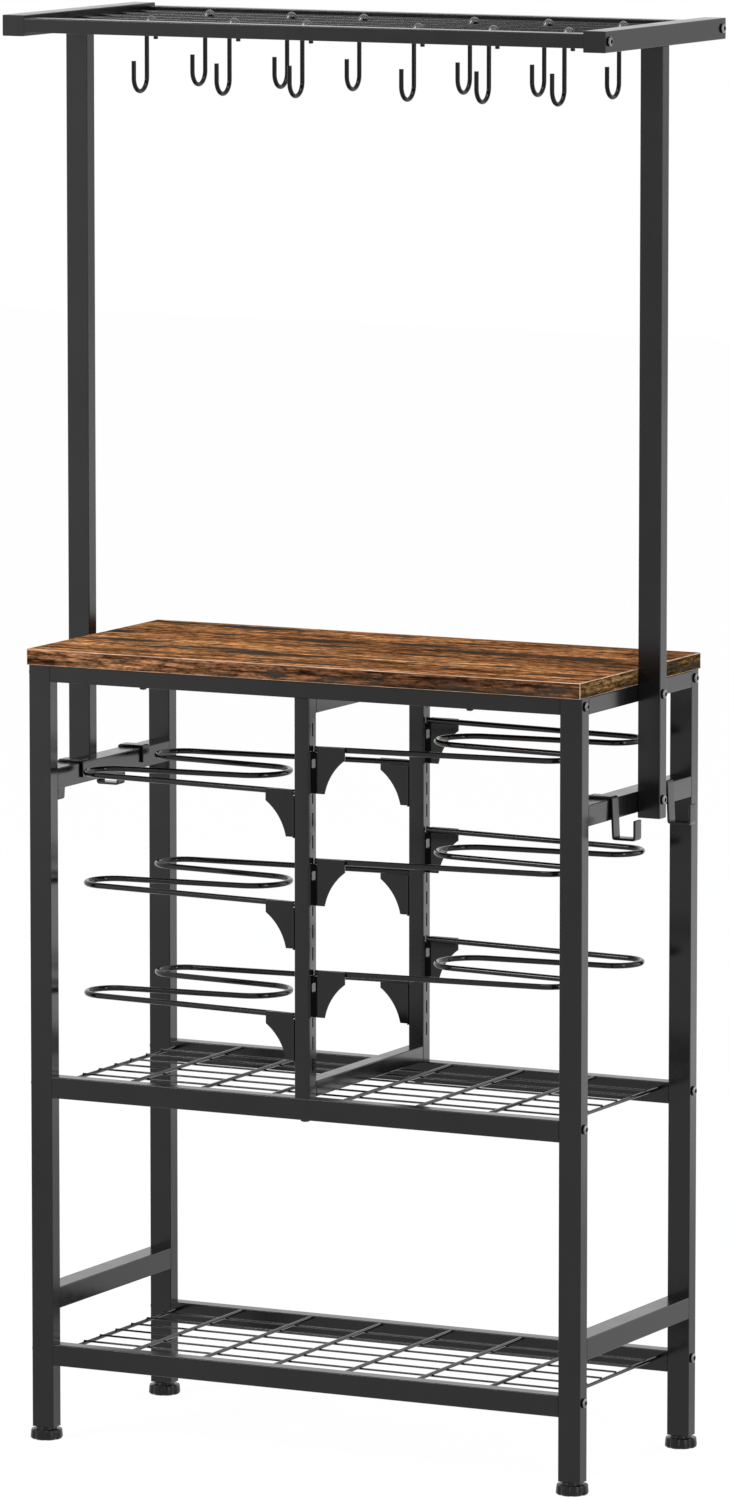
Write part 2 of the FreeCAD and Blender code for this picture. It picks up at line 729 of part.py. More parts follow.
def tangent_turns(start, circles, stop):
    """Where a taut line round circles leaves and meets each one.

    circles are (x, y, radius, turn), turn +1 for anticlockwise and -1 for clockwise."""
    chain = [(start[0], start[1], 0.0, 1)] + circles + [(stop[0], stop[1], 0.0, 1)]
    touches = []
    for one, two in zip(chain, chain[1:]):
        dx, dy = two[0] - one[0], two[1] - one[1]
        reach = math.hypot(dx, dy)
        swing = math.asin((one[2] * one[3] - two[2] * two[3]) / reach)
        heading = math.atan2(dy, dx) + swing
        normal = (math.sin(heading), -math.cos(heading))
        leave = (one[0] + normal[0] * one[2] * one[3], one[1] + normal[1] * one[2] * one[3])
        meet = (two[0] + normal[0] * two[2] * two[3], two[1] + normal[1] * two[2] * two[3])
        touches.append((leave, meet))
    return touches


def pan_wire_path():
    """The M-shaped path of a pan holder's wire, seen from above, from front web to back web."""
    outer_x, outer_y = size("sizes.pan_outer_x"), size("sizes.pan_outer_y")
    outer_bend, inner_bend = size("sizes.pan_outer_bend"), size("sizes.pan_inner_bend")
    start = (size("sizes.flange_face"), -size("sizes.pan_wire_start"))
    circles = [
        (outer_x, -outer_y, outer_bend, 1),
        (size("sizes.pan_inner_x"), 0.0, inner_bend, -1),
        (outer_x, outer_y, outer_bend, 1),
    ]
    touches = tangent_turns(start, circles, (start[0], -start[1]))
    points = [start]
    for number, (x, y, radius, turn) in enumerate(circles):
        meet = touches[number][1]
        leave = touches[number + 1][0]
        from_angle = math.degrees(math.atan2(meet[1] - y, meet[0] - x))
        to_angle = math.degrees(math.atan2(leave[1] - y, leave[0] - x))
        while (to_angle - from_angle) * turn < 0:
            to_angle += 360 * turn
        points += bend((x, y), radius, from_angle, to_angle, PAN_STEPS)
    points.append((start[0], -start[1]))
    return points


def pan_bracket(y_sign):
    """One bracket of a pan holder: a web under the wire and a flange against the upright.

    Two hooked tabs of the web go through the upright's slots."""
    body = doc.addObject("PartDesign::Body", "bracket")
    inner = "sizes.divider_size / 2 + sizes.flange_gap"
    behind_wall = "sizes.divider_size / 2 - sizes.divider_wall - sizes.tab_gap"
    second = "sizes.slot_pitch"
    low_tab = "(sizes.tab_top + sizes.tab_tall + sizes.tab_hook)"
    web = new_sketch(body, "XZ_Plane")
    outline(web, [
        ("sizes.web_notch_reach", "0"),
        ("sizes.web_notch_reach", "-sizes.tab_top"),
        ("sizes.tab_end", "-sizes.tab_top"),
        ("sizes.tab_end", "-%s" % low_tab),
        (behind_wall, "-%s" % low_tab),
        (behind_wall, "-(sizes.tab_top + sizes.tab_tall)"),
        ("sizes.flange_face + 2", "-(sizes.tab_top + sizes.tab_tall)"),
        ("sizes.flange_face + 2", "-sizes.window_bottom"),
        (inner, "-sizes.window_bottom"),
        (inner, "-(sizes.tab_top + %s)" % second),
        ("sizes.tab_end", "-(sizes.tab_top + %s)" % second),
        ("sizes.tab_end", "-(%s + %s)" % (low_tab, second)),
        (behind_wall, "-(%s + %s)" % (low_tab, second)),
        (behind_wall, "-(sizes.tab_top + sizes.tab_tall + %s)" % second),
        (inner, "-(sizes.tab_top + sizes.tab_tall + %s)" % second),
        (inner, "-sizes.web_tall"),
        ("sizes.web_foot", "-sizes.web_tall"),
        ("sizes.web_reach", "-sizes.web_nose"),
        ("sizes.web_reach", "0"),
    ], arcs={16: "sizes.web_arc"})
    pad(body, web, "sizes.web_thick", both_ways=True)
    flange = new_sketch(body, "YZ_Plane", inner)
    rectangle(flange, "sizes.divider_size", "sizes.web_tall - sizes.tab_top", "0",
              "-(sizes.web_tall + sizes.tab_top) / 2")
    rectangle(flange, "sizes.window_wide", "sizes.window_bottom - sizes.window_top", "0",
              "-(sizes.window_bottom + sizes.window_top) / 2")
    pad(body, flange, "sizes.flange_face - (%s)" % inner)
    place(body, "0", "%d * (sizes.frame_deep - sizes.divider_size) / 2" % y_sign)
    return body


def build_pan_holders():
    flat = pan_wire_path()
    for side, x_sign in SIDES.items():
        for level, name in enumerate(("upper", "middle", "lower")):
            height = -size("sizes.pan_wire")
            wire_part = bent_wire([Vector(x, y, height) for x, y in flat], "sizes.pan_wire")
            holder = doc.addObject("Part::MultiFuse", "pan_holder")
            holder.Shapes = [wire_part, pan_bracket(-1), pan_bracket(1)]
            place(holder, z="sizes.holder_first_%s - %d * sizes.holder_pitch" % (side, level),
                  turn=0.0 if x_sign > 0 else 180.0)
            node(holder, "pan_holder_%s_%s" % (side, name))


# Divider

def build_divider():
    bottom = "sizes.middle_rail_top"
    top = "sizes.worktop_rail_top - sizes.worktop_rail_tall"
    upright_y = "(sizes.frame_deep - sizes.divider_size) / 2"
    for end, y_sign in ENDS.items():
        upright = tube("divider_upright_" + end, "z", "sizes.divider_size", "sizes.divider_size",
                       "%s - %s" % (top, bottom), start=bottom, wall="sizes.divider_wall")
        bolt_y = "%d * (sizes.divider_size - sizes.rail_deep) / 2" % y_sign
        for offset in (bottom, "%s - sizes.plate_thick" % top):
            end_plates(upright, "z", "sizes.divider_size", "sizes.divider_size", "sizes.plate_thick",
                       offset, hole=("0", bolt_y), mirror=False)
        doc.recompute()
        before = upright.Shape.Volume
        slots = new_sketch(upright, "YZ_Plane")
        for number in range(SLOT_COUNT):
            rectangle(slots, "sizes.slot_wide", "sizes.slot_long", "0",
                      "sizes.slot_first - %d * sizes.slot_pitch" % number)
        cut = upright.newObject("PartDesign::Pocket", "slots")
        cut.Profile = slots
        cut.Type = "ThroughAll"
        cut.Midplane = True
        doc.recompute()
        if not upright.Shape.Volume < before - 1.0:
            raise RuntimeError("slots cut nothing")
        place(upright, "0", "%d * %s" % (y_sign, upright_y))
    bars = {
        "divider_bar_top": "%s - sizes.divider_bar_tall / 2" % top,
        "divider_bar_bottom": "%s + sizes.divider_bar_tall / 2" % bottom,
    }
    for label, height in bars.items():
        bar = tube(label, "y", "sizes.divider_size", "sizes.divider_bar_tall",
                   "sizes.frame_deep - 2 * sizes.divider_size", wall="sizes.divider_wall")
        place(bar, z=height)


# Flat hooks on the side rails

def eased_path(corners, radii):
    """A path of straight edges through corners, each inner corner eased by an arc's short chords."""
    points = [corners[0]]
    for number, radius in enumerate(radii, start=1):
        corner = corners[number]
        back = (corners[number - 1] - corner).normalize()
        ahead = (corners[number + 1] - corner).normalize()
        half = back.getAngle(ahead) / 2
        inward = (back + ahead).normalize()
        centre = corner + inward * (radius / math.sin(half))
        first = corner + back * (radius / math.tan(half)) - centre
        last = corner + ahead * (radius / math.tan(half)) - centre
        sweep = first.getAngle(last)
        for step in range(FLAT_STEPS + 1):
            share = step / FLAT_STEPS
            early = math.sin((1 - share) * sweep) / math.sin(sweep)
            late = math.sin(share * sweep) / math.sin(sweep)
            points.append(centre + first * early + last * late)
    points.append(corners[-1])
    return Part.makePolygon(points)


def flat_hook_shape():
    """A flat bar bent over the rail, down its outer face and up again into a mouth.

    The path follows the bar's side against the rail, and then the outside of the mouth."""
    gap = size("sizes.flat_gap")
    outside = size("sizes.frame_wide") / 2 + gap
    inside = size("sizes.frame_wide") / 2 - size("sizes.leg_wide") - gap
    over = size("sizes.hook_rail_top") + gap
    low = size("sizes.flat_bottom")
    lean = size("sizes.flat_lean")
    reach = outside + size("sizes.flat_reach")
    wide = size("sizes.flat_wide")
    front = -wide / 2
    corners = [
        Vector(inside, front, size("sizes.hook_rail_top") - size("sizes.flat_inner_leg")),
        Vector(inside, front, over),
        Vector(outside, front, over),
        Vector(outside + lean, front, low),
        Vector(reach, front, low),
        Vector(reach, front, size("sizes.flat_tip")),
    ]
    tight, loose = size("sizes.flat_tight_bend"), size("sizes.flat_wide_bend")
    path = eased_path(corners, [tight, tight, loose, loose])
    band = path.makeOffset2D(size("sizes.flat_thick"), join=2, fill=True, openResult=True)
    bar = band.extrude(Vector(0, wide, 0))
    if bar.BoundBox.ZMax < over + size("sizes.flat_thick") - 0.1:
        raise RuntimeError("the flat hook's bar lies on the wrong side of its path")
    return bar


def build_side_hooks():
    for side, x_sign in SIDES.items():
        for end, y_sign in ENDS.items():
            hook = doc.addObject("Part::Feature", "side_hook")
            hook.Shape = flat_hook_shape()
            place(hook, y="%d * sizes.flat_place" % y_sign, turn=0.0 if x_sign > 0 else 180.0)
            node(hook, "side_hook_%s_%s" % (side, end))


build_legs()
build_side_rails()
build_front_and_back_rails()
build_worktop()
build_gantry()
build_shelf_grid("mid_shelf_grid", "sizes.middle_rail_top", "sizes.middle_wire_drop")
build_shelf_grid("bottom_shelf_grid", "sizes.bottom_rail_top", "sizes.bottom_wire_drop")
build_rack_grid()
build_fasteners()
build_feet()
build_leg_plugs()
build_s_hooks()
build_divider()
build_pan_holders()
build_side_hooks()

doc.recompute()
for thing in doc.Objects:
    if "Invalid" in thing.State or "Error" in thing.State:
        raise RuntimeError("%s (%s): %s" % (thing.Label, thing.TypeId, thing.State))

os.makedirs("parts", exist_ok=True)
for part in nodes:
    if part.Shape.isNull() or not part.Shape.isValid():
        raise RuntimeError("%s has no valid shape" % part.Label)
    part.Shape.exportStep(os.path.join("parts", part.Label + ".step"))
    print(part.Label, len(part.Shape.Solids), "solids,", round(part.Shape.Volume), "mm3")
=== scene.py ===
import math
import random

import bmesh
import bpy
from mathutils import Matrix, Vector

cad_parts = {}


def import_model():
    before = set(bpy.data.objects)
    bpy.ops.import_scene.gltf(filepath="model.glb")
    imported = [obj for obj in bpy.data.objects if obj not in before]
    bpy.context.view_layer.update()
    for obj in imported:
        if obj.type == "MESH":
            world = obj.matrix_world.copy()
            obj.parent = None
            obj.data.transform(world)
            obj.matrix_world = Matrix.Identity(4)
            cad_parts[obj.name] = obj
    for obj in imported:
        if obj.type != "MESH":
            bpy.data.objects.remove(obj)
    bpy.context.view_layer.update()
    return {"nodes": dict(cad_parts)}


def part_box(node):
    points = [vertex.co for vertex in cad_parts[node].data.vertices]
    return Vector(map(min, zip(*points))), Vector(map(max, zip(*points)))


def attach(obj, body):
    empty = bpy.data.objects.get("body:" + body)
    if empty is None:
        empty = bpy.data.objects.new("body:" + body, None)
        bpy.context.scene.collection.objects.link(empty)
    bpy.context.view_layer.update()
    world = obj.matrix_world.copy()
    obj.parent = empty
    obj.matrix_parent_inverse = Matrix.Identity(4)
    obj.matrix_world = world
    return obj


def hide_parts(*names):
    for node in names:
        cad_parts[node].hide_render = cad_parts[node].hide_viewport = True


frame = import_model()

random.seed(7)
MM = 0.001
X_AXIS = Vector((1, 0, 0))
Y_AXIS = Vector((0, 1, 0))
Z_AXIS = Vector((0, 0, 1))
SIDES = {"left": -1, "right": 1}
ENDS = {"front": -1, "back": 1}

# The middle of a leg, in millimetres from the rack's own middle.
LEG_X = 356.0
LEG_Y = 152.25


# Node trees

def feed(tree, socket, value):
    """Join another node's output to a socket, or set the socket's own value."""
    if isinstance(value, bpy.types.NodeSocket):
        tree.links.new(value, socket)
    elif socket.type == "RGBA":
        socket.default_value = (*value, 1.0)
    else:
        socket.default_value = value


def add_node(tree, kind, inputs, output=None, **settings):
    """Add a node, feed its inputs, by name or number, and return the output asked for."""
    node = tree.nodes.new(kind)
    for key, value in settings.items():
        setattr(node, key, value)
    for key, value in inputs.items():
        feed(tree, node.inputs[key], value)
    return None if output is None else node.outputs[output]


class Nodes:
    """A short way to build one procedural material."""

    def __init__(self, name):
        self.material = bpy.data.materials.new(name)
        self.material.use_nodes = True
        self.tree = self.material.node_tree
        self.place = self.add("ShaderNodeTexCoord", {}, "Object")

    def add(self, kind, inputs, output, **settings):
        return add_node(self.tree, kind, inputs, output, **settings)

    def stretched(self, scale, shift=(0, 0, 0), place=None):
        """Coordinates, the object's own unless others are given, stretched and shifted."""
        place = self.place if place is None else place
        inputs = {"Vector": place, "Scale": scale, "Location": shift}
        return self.add("ShaderNodeMapping", inputs, "Vector")

    def noise(self, scale, detail=2.0, rough=0.5, distortion=0.0, shift=(0, 0, 0), output="Fac"):
        """Noise with so many features to the metre along each axis."""
        if not isinstance(scale, tuple):
            scale = (scale, scale, scale)
        inputs = {"Vector": self.stretched(scale, shift), "Scale": 1.0, "Detail": detail,
                  "Roughness": rough, "Distortion": distortion}
        return self.add("ShaderNodeTexNoise", inputs, output)

    def spread(self, value, low, high, out_low=0.0, out_high=1.0):
        """The value taken from one range to another, and held at its ends."""
        inputs = {"Value": value, "From Min": low, "From Max": high,
                  "To Min": out_low, "To Max": out_high}
        return self.add("ShaderNodeMapRange", inputs, "Result")

    def ramp(self, value, stops):
        """A colour ramp through (value, colour) stops."""
        ramped = self.add("ShaderNodeValToRGB", {"Fac": value}, "Color")
        elements = ramped.node.color_ramp.elements
        while len(elements) < len(stops):
            elements.new(0.5)
        for element, (place, colour) in zip(elements, stops):
            element.position = place
            element.color = (*colour, 1.0)
        return ramped

    def mix(self, factor, one, two, blend="MIX"):
        """A mix of two colours; each, and the factor, may be an output or a value."""
        inputs = {0: factor, 6: one, 7: two}
        return self.add("ShaderNodeMix", inputs, 2, data_type="RGBA", blend_type=blend)

    def math(self, operation, one, two):
        return self.add("ShaderNodeMath", {0: one, 1: two}, 0, operation=operation)

    def weighted(self, one, share_one, two, share_two):
        """The sum of two values, each times its share."""
        return self.math("ADD", self.math("MULTIPLY", one, share_one),
                         self.math("MULTIPLY", two, share_two))

    def vector(self, operation, one, two):
        return self.add("ShaderNodeVectorMath", {0: one, 1: two}, 0, operation=operation)

    def bump(self, height, depth, strength):
        inputs = {"Height": height, "Distance": depth, "Strength": strength}
        return self.add("ShaderNodeBump", inputs, "Normal")

    def finish(self, colour, roughness, normal=None, gloss=0.5, metal=0.0):
        """Join the channels to the shader and return the material."""
        sockets = self.tree.nodes["Principled BSDF"].inputs
        feed(self.tree, sockets["Base Color"], colour)
        feed(self.tree, sockets["Roughness"], roughness)
        if normal is not None:
            feed(self.tree, sockets["Normal"], normal)
        sockets["Specular IOR Level"].default_value = gloss
        sockets["Metallic"].default_value = metal
        return self.material


# Paint, steel and plastic

def powder_coat(name, dark, light, rough_low, rough_high, peel=0.0, gloss=0.33, metal=0.0):
    """A satin coat with cloudy gloss and a trace of dust; peel is its orange peel's strength."""
    nodes = Nodes(name)
    clouds = nodes.noise(9.0, detail=3.0)
    specks = nodes.noise(520.0, detail=2.0, rough=0.6)
    tone = nodes.weighted(clouds, 0.65, specks, 0.35)
    colour = nodes.mix(nodes.spread(tone, 0.35, 0.65), dark, light)
    patches = nodes.noise(26.0, detail=4.0, rough=0.6, shift=(3, 1, 2))
    rough = nodes.spread(patches, 0.3, 0.7, rough_low, rough_high)
    normal = None
    if peel:
        normal = nodes.bump(nodes.noise(300.0, detail=1.5, shift=(5, 5, 5)), 0.04 * MM, peel)
    return nodes.finish(colour, rough, normal, gloss, metal)


def plastic(name, dark, light, rough_low, rough_high, gloss=0.5):
    """Moulded plastic with a fine spark-eroded grain."""
    nodes = Nodes(name)
    colour = nodes.mix(nodes.noise(120.0, detail=3.0), dark, light)
    rough = nodes.spread(nodes.noise(60.0, detail=3.0), 0.3, 0.7, rough_low, rough_high)
    normal = nodes.bump(nodes.noise(1800.0, detail=2.0), 0.05 * MM, 0.4)
    return nodes.finish(colour, rough, normal, gloss)


FRAME_PAINT = powder_coat("frame_powder_coat", (0.0030, 0.0031, 0.0033),
                          (0.0060, 0.0061, 0.0064), 0.16, 0.24, peel=0.20)
WIRE_PAINT = powder_coat("wire_powder_coat", (0.0020, 0.0020, 0.0021),
                         (0.0045, 0.0045, 0.0047), 0.08, 0.13)
GRID_PAINT = powder_coat("grid_powder_coat", (0.0020, 0.0020, 0.0021),
                         (0.0045, 0.0045, 0.0047), 0.12, 0.18, gloss=0.38)
# Painted highlight: a lighter, glossier copy of the hooks' coat for the tops of their loops, where
# light from above catches them.
LOOP_HIGHLIGHT_PAINT = powder_coat("loop_coat_painted_highlight", (0.0060, 0.0060, 0.0062),
                         (0.0160, 0.0160, 0.0165), 0.12, 0.18, gloss=1.0)
HOOK_PAINT = powder_coat("hook_powder_coat", (0.0015, 0.0015, 0.0016),
                         (0.0030, 0.0030, 0.0032), 0.07, 0.12, gloss=0.17)
BOLT_BLACK = powder_coat("bolt_black_oxide", (0.0015, 0.0015, 0.0016),
                         (0.0035, 0.0035, 0.0037), 0.14, 0.22, gloss=0.08)
# Painted highlight: the upper crown of each black head is a bright polished metal that stands in
# for the light catching it.
BOLT_CROWN_HIGHLIGHT = powder_coat("bolt_crown_painted_highlight", (0.14, 0.14, 0.145),
                         (0.20, 0.20, 0.205), 0.20, 0.28, metal=1.0)
FOOT_PLASTIC = plastic("foot_moulded_plastic", (0.0030, 0.0030, 0.0030),
                       (0.0070, 0.0070, 0.0070), 0.20, 0.30, gloss=0.24)
PLUG_PLASTIC = plastic("plug_moulded_plastic", (0.008, 0.008, 0.008),
                       (0.014, 0.014, 0.014), 0.42, 0.55)


# The worktop's laminate

# Charred streaks on the face, in millimetres: centre x and y, half length, half width.
FACE_STREAKS = [
    (-215, 142, 105, 24), (-335, 150, 70, 14), (-118, 102, 34, 9), (-85, 60, 95, 19),
    (-50, 22, 56, 12), (-222, 66, 46, 12), (-295, -32, 92, 21), (-172, -60, 86, 15),
    (-100, -80, 98, 30), (-22, -77, 62, 14), (-245, -78, 62, 11), (-352, 42, 44, 24),
    (52, 78, 84, 24), (160, 47, 120, 17), (272, 42, 84, 26), (345, -8, 52, 11),
    (72, -8, 96, 12), (207, -65, 44, 11), (50, -84, 42, 12), (170, -94, 36, 9),
    (86, 116, 40, 9), (-10, 150, 60, 9), (310, -118, 70, 8), (-250, -128, 80, 8),
    (20, -140, 110, 7),
]

# The same on the front and back edges: centre x and z, half length, half height.
EDGE_STREAKS = [
    (-293, 957, 30, 13), (-248, 962, 22, 9), (-112, 953, 34, 12), (-30, 960, 40, 10),
    (40, 955, 46, 15), (92, 959, 42, 17), (150, 952, 36, 12), (210, 960, 48, 17),
    (282, 956, 46, 16), (335, 958, 44, 18), (368, 955, 30, 14),
]

# The same on the two end edges: centre y and z, half length, half height.
END_STREAKS = [
    (-134, 953, 26, 14), (-38, 955, 34, 16), (30, 958, 40, 14), (96, 962, 34, 12),
    (140, 956, 30, 17),
]

# The wood's own tones, dark to light, as (value, colour) stops.
FACE_TONES = [(0.32, (0.112, 0.049, 0.022)), (0.44, (0.234, 0.101, 0.042)),
              (0.54, (0.350, 0.160, 0.066)), (0.68, (0.475, 0.250, 0.112))]
EDGE_TONES = [(0.32, (0.082, 0.036, 0.018)), (0.46, (0.165, 0.073, 0.034)),
              (0.60, (0.255, 0.121, 0.060)), (0.72, (0.400, 0.212, 0.112))]
END_TONES = [(0.32, (0.060, 0.036, 0.014)), (0.46, (0.125, 0.072, 0.028)),
             (0.60, (0.200, 0.118, 0.048)), (0.72, (0.270, 0.165, 0.075))]

# What three layers of the print multiply those tones by.
FIBRE_SHADES = [(0.36, (0.30, 0.28, 0.26)), (0.50, (0.88, 0.87, 0.86)), (0.62, (1.48, 1.44, 1.38))]
FIGURE_SHADES = [(0.37, (0.26, 0.24, 0.23)), (0.50, (0.96, 0.95, 0.94)), (0.61, (1.58, 1.54, 1.47))]
MOTTLE_SHADES = [(0.39, (0.36, 0.34, 0.33)), (0.50, (0.97, 0.97, 0.97)), (0.61, (1.66, 1.62, 1.55))]

BURNT_BROWN = (0.040, 0.027, 0.018)
BURNT_GREEN = (0.045, 0.047, 0.042)
FLECK_BROWN = (0.040, 0.026, 0.018)


def charred_places(nodes, place, streaks, grain, across):
    """1 at the middle of each streak, falling to 0 at its rim."""
    where = None
    for first, second, long_half, wide_half in streaks:
        scale = [0.0, 0.0, 0.0]
        shift = [0.0, 0.0, 0.0]
        for axis, middle, half in ((grain, first, long_half), (across, second, wide_half)):
            scale[axis] = 1 / MM / half
            shift[axis] = -middle / half
        local = nodes.stretched(tuple(scale), tuple(shift), place)
        ball = nodes.add("ShaderNodeTexGradient", {"Vector": local}, "Fac",
                         gradient_type="SPHERICAL")
        where = ball if where is None else nodes.math("MAXIMUM", ball, where)
    return where


def laminate(name, axes, streaks, tones, short=1.0, mask=0.62, fine=1.0):
    """Rustic wood print: tonal bands, charred flame-like streaks and fine dark grain.

    axes are the two axes of the face, the grain's own first. short shortens the figure along
    the grain, fine narrows it across the grain, and mask is the streaks' share in the char."""
    nodes = Nodes(name)
    grain, across = ("xyz".index(axis) for axis in axes)

    def along(length, width):
        """A scale with so many features to the metre along the grain and across it."""
        scale = [0.35 * width] * 3
        scale[grain] = length
        scale[across] = width
        return tuple(scale)

    bands = nodes.noise(along(3.2, 24.0), detail=3.0, rough=0.6, distortion=0.6)
    planks = nodes.noise(along(1.4, 9.0), detail=1.0, shift=(4, 2, 1))
    wood = nodes.ramp(nodes.weighted(bands, 0.6, planks, 0.4), tones)
    fibres = nodes.noise(along(11.0, 330.0), detail=6.0, rough=0.72, shift=(1, 7, 3))
    figure = nodes.noise(along(9.0 * short, 105.0 * fine), detail=4.0, rough=0.68,
                         distortion=0.5, shift=(3, 3, 9))
    mottle = nodes.noise(along(62.0 * short, 150.0 * fine), detail=3.0, rough=0.7, shift=(2, 5, 7))
    for layer, shades in ((fibres, FIBRE_SHADES), (figure, FIGURE_SHADES), (mottle, MOTTLE_SHADES)):
        wood = nodes.mix(1.0, wood, nodes.ramp(layer, shades), "MULTIPLY")

    wander = nodes.noise(along(9.0, 70.0), detail=4.0, rough=0.65, shift=(2, 9, 5), output="Color")
    centred = nodes.vector("SUBTRACT", wander, (0.5, 0.5, 0.5))
    reach = [0.0, 0.0, 0.0]
    reach[grain] = 160.0 * MM
    reach[across] = 20.0 * MM
    moved = nodes.vector("ADD", nodes.place, nodes.vector("MULTIPLY", centred, tuple(reach)))
    where = charred_places(nodes, moved, streaks, grain, across)
    flames = nodes.noise(along(7.0 * short, 150.0 * fine), detail=6.0, rough=0.7,
                         distortion=0.8, shift=(7, 4, 2))
    char = nodes.spread(nodes.weighted(where, mask, flames, 0.80), 0.545, 0.72)
    burnt = nodes.mix(nodes.noise(14.0, detail=2.0, shift=(8, 8, 8)), BURNT_BROWN, BURNT_GREEN)
    wood = nodes.mix(nodes.math("MULTIPLY", char, 0.95), wood, burnt)

    flecks = nodes.noise(along(26.0 * short, 190.0 * fine), detail=5.0, rough=0.78, shift=(6, 1, 8))
    wood = nodes.mix(nodes.spread(flecks, 0.57, 0.68, 0.0, 0.80), wood, FLECK_BROWN)
    rough = nodes.spread(fibres, 0.3, 0.7, 0.55, 0.70)
    return nodes.finish(wood, rough, nodes.bump(fibres, 0.06 * MM, 0.4), gloss=0.0)


def edge_line():
    """The thin pale line on the board's upper and upright edges, a painted highlight where light
    catches their rounding.
    """
    nodes = Nodes("worktop_edge_painted_highlight")
    # Noise that breaks up the painted highlight's tone and roughness.
    highlight_noise = nodes.noise((30.0, 90.0, 300.0), detail=4.0)
    colour = nodes.mix(nodes.spread(highlight_noise, 0.35, 0.65), (0.36, 0.20, 0.12), (0.72, 0.50, 0.36))
    return nodes.finish(colour, nodes.spread(highlight_noise, 0.3, 0.7, 0.45, 0.6))


# The board's materials, in the order of its material slots.
BOARD = [
    laminate("worktop_laminate_face", "xy", FACE_STREAKS, FACE_TONES),
    laminate("worktop_laminate_edge", "xz", EDGE_STREAKS, EDGE_TONES,
             short=1.1, mask=0.33, fine=2.0),
    edge_line(),
    laminate("worktop_laminate_end", "yz", END_STREAKS, END_TONES,
             short=1.4, mask=0.35, fine=2.0),
]
EDGE_SLOT, LINE_SLOT, END_SLOT = 1, 2, 3


# Mesh helpers

def polar(radius, angle):
    """The (u, v) of a radius and of an angle in radians."""
    return radius * math.cos(angle), radius * math.sin(angle)


def circle(radius, sides):
    """A circle, as (u, v) pairs anticlockwise."""
    return [polar(radius, 2 * math.pi * k / sides) for k in range(sides)]


def arc(centre, radius, from_angle, to_angle, steps):
    """Points round a bend, as (u, v) pairs; the angles are in degrees."""
    points = []
    for step in range(steps + 1):
        u, v = polar(radius, math.radians(from_angle + (to_angle - from_angle) * step / steps))
        points.append((centre[0] + u, centre[1] + v))
    return points


def round_outline(half_u, half_v, radius, steps):
    """A rectangle with round corners, as (u, v) pairs anticlockwise from the +u side."""
    points = []
    for sign_u, sign_v, start in ((1, 1, 0), (-1, 1, 90), (-1, -1, 180), (1, -1, 270)):
        corner = (sign_u * (half_u - radius), sign_v * (half_v - radius))
        points += arc(corner, radius, start, start + 90, steps)
    return points


def add_ring(bm, centre, u_axis, v_axis, outline, inset=0.0):
    """A ring of vertices; inset draws each point towards the axis by a length."""
    ring = []
    for u, v in outline:
        length = math.hypot(u, v)
        share = (length - inset) / length
        ring.append(bm.verts.new(centre + u_axis * (u * share) + v_axis * (v * share)))
    return ring


def bridge(bm, one, two):
    """A band of faces from one ring to another."""
    for k in range(len(one)):
        following = (k + 1) % len(one)
        bm.faces.new((one[k], one[following], two[following], two[k]))


def skin(bm, rings):
    """Bands from each ring to the next, and a face over both ends."""
    for one, two in zip(rings, rings[1:]):
        bridge(bm, one, two)
    bm.faces.new(list(reversed(rings[0])))
    bm.faces.new(rings[-1])


def sweep(bm, points, binormal, outline, ease):
    """An outline swept along a path that lies in the plane square to binormal.

    The outline's v runs along binormal. ease is how far the rim of both ends is rounded off."""
    rim = 0.3 * ease
    rings = []
    last = len(points) - 1
    for k, point in enumerate(points):
        back = (point - points[k - 1]).normalized() if k > 0 else None
        ahead = (points[k + 1] - point).normalized() if k < last else None
        tangent = ((back or ahead) + (ahead or back)).normalized()
        across = binormal.cross(tangent).normalized()
        stations = [(0.0, 0.0)]
        if k == 0:
            stations = [(0.0, ease), (rim, rim), (ease, 0.0)]
        elif k == last:
            stations = [(-ease, 0.0), (-rim, rim), (0.0, ease)]
        for offset, inset in stations:
            rings.append(add_ring(bm, point + tangent * offset, across, binormal, outline, inset))
    skin(bm, rings)


def lathe_rings(bm, rows, matrix, sides, shape=None):
    """Rings given as (radius, height) about a matrix's Z.

    shape, where given, is a factor on the radius for a row and an angle."""
    rings = []
    for number, (radius, height) in enumerate(rows):
        ring = []
        for k in range(sides):
            angle = 2 * math.pi * k / sides
            reach = radius * shape(number, angle) if shape else radius
            ring.append(bm.verts.new(matrix @ Vector((*polar(reach, angle), height))))
        rings.append(ring)
    return rings


def round_edges(bm, width):
    """Round every edge that turns by more than 40 degrees."""
    bm.normal_update()
    sharp = [edge for edge in bm.edges
             if len(edge.link_faces) == 2 and edge.calc_face_angle(0.0) > math.radians(40.0)]
    bmesh.ops.bevel(bm, geom=sharp, offset=width, segments=2, profile=0.5,
                    affect="EDGES", clamp_overlap=True)


def piece(name, bm, body, nodes, slot, *materials, angle=32.0):
    """Make the object, shade it, and hang it on its CAD body in place of its CAD nodes."""
    mesh = bpy.data.meshes.new(name)
    bmesh.ops.recalc_face_normals(bm, faces=bm.faces)
    bm.to_mesh(mesh)
    bm.free()
    for material in materials:
        mesh.materials.append(material)
    mesh.shade_smooth()
    mesh.set_sharp_from_angle(angle=math.radians(angle))
    thing = bpy.data.objects.new(name, mesh)
    bpy.context.scene.collection.objects.link(thing)
    weighted = thing.modifiers.new("weighted_normals", "WEIGHTED_NORMAL")
    weighted.keep_sharp = True
    weighted.weight = 60
    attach(thing, body)
    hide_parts(*nodes)


# Rectangular tubes: the start of a node's name, and the axis that its tube runs along

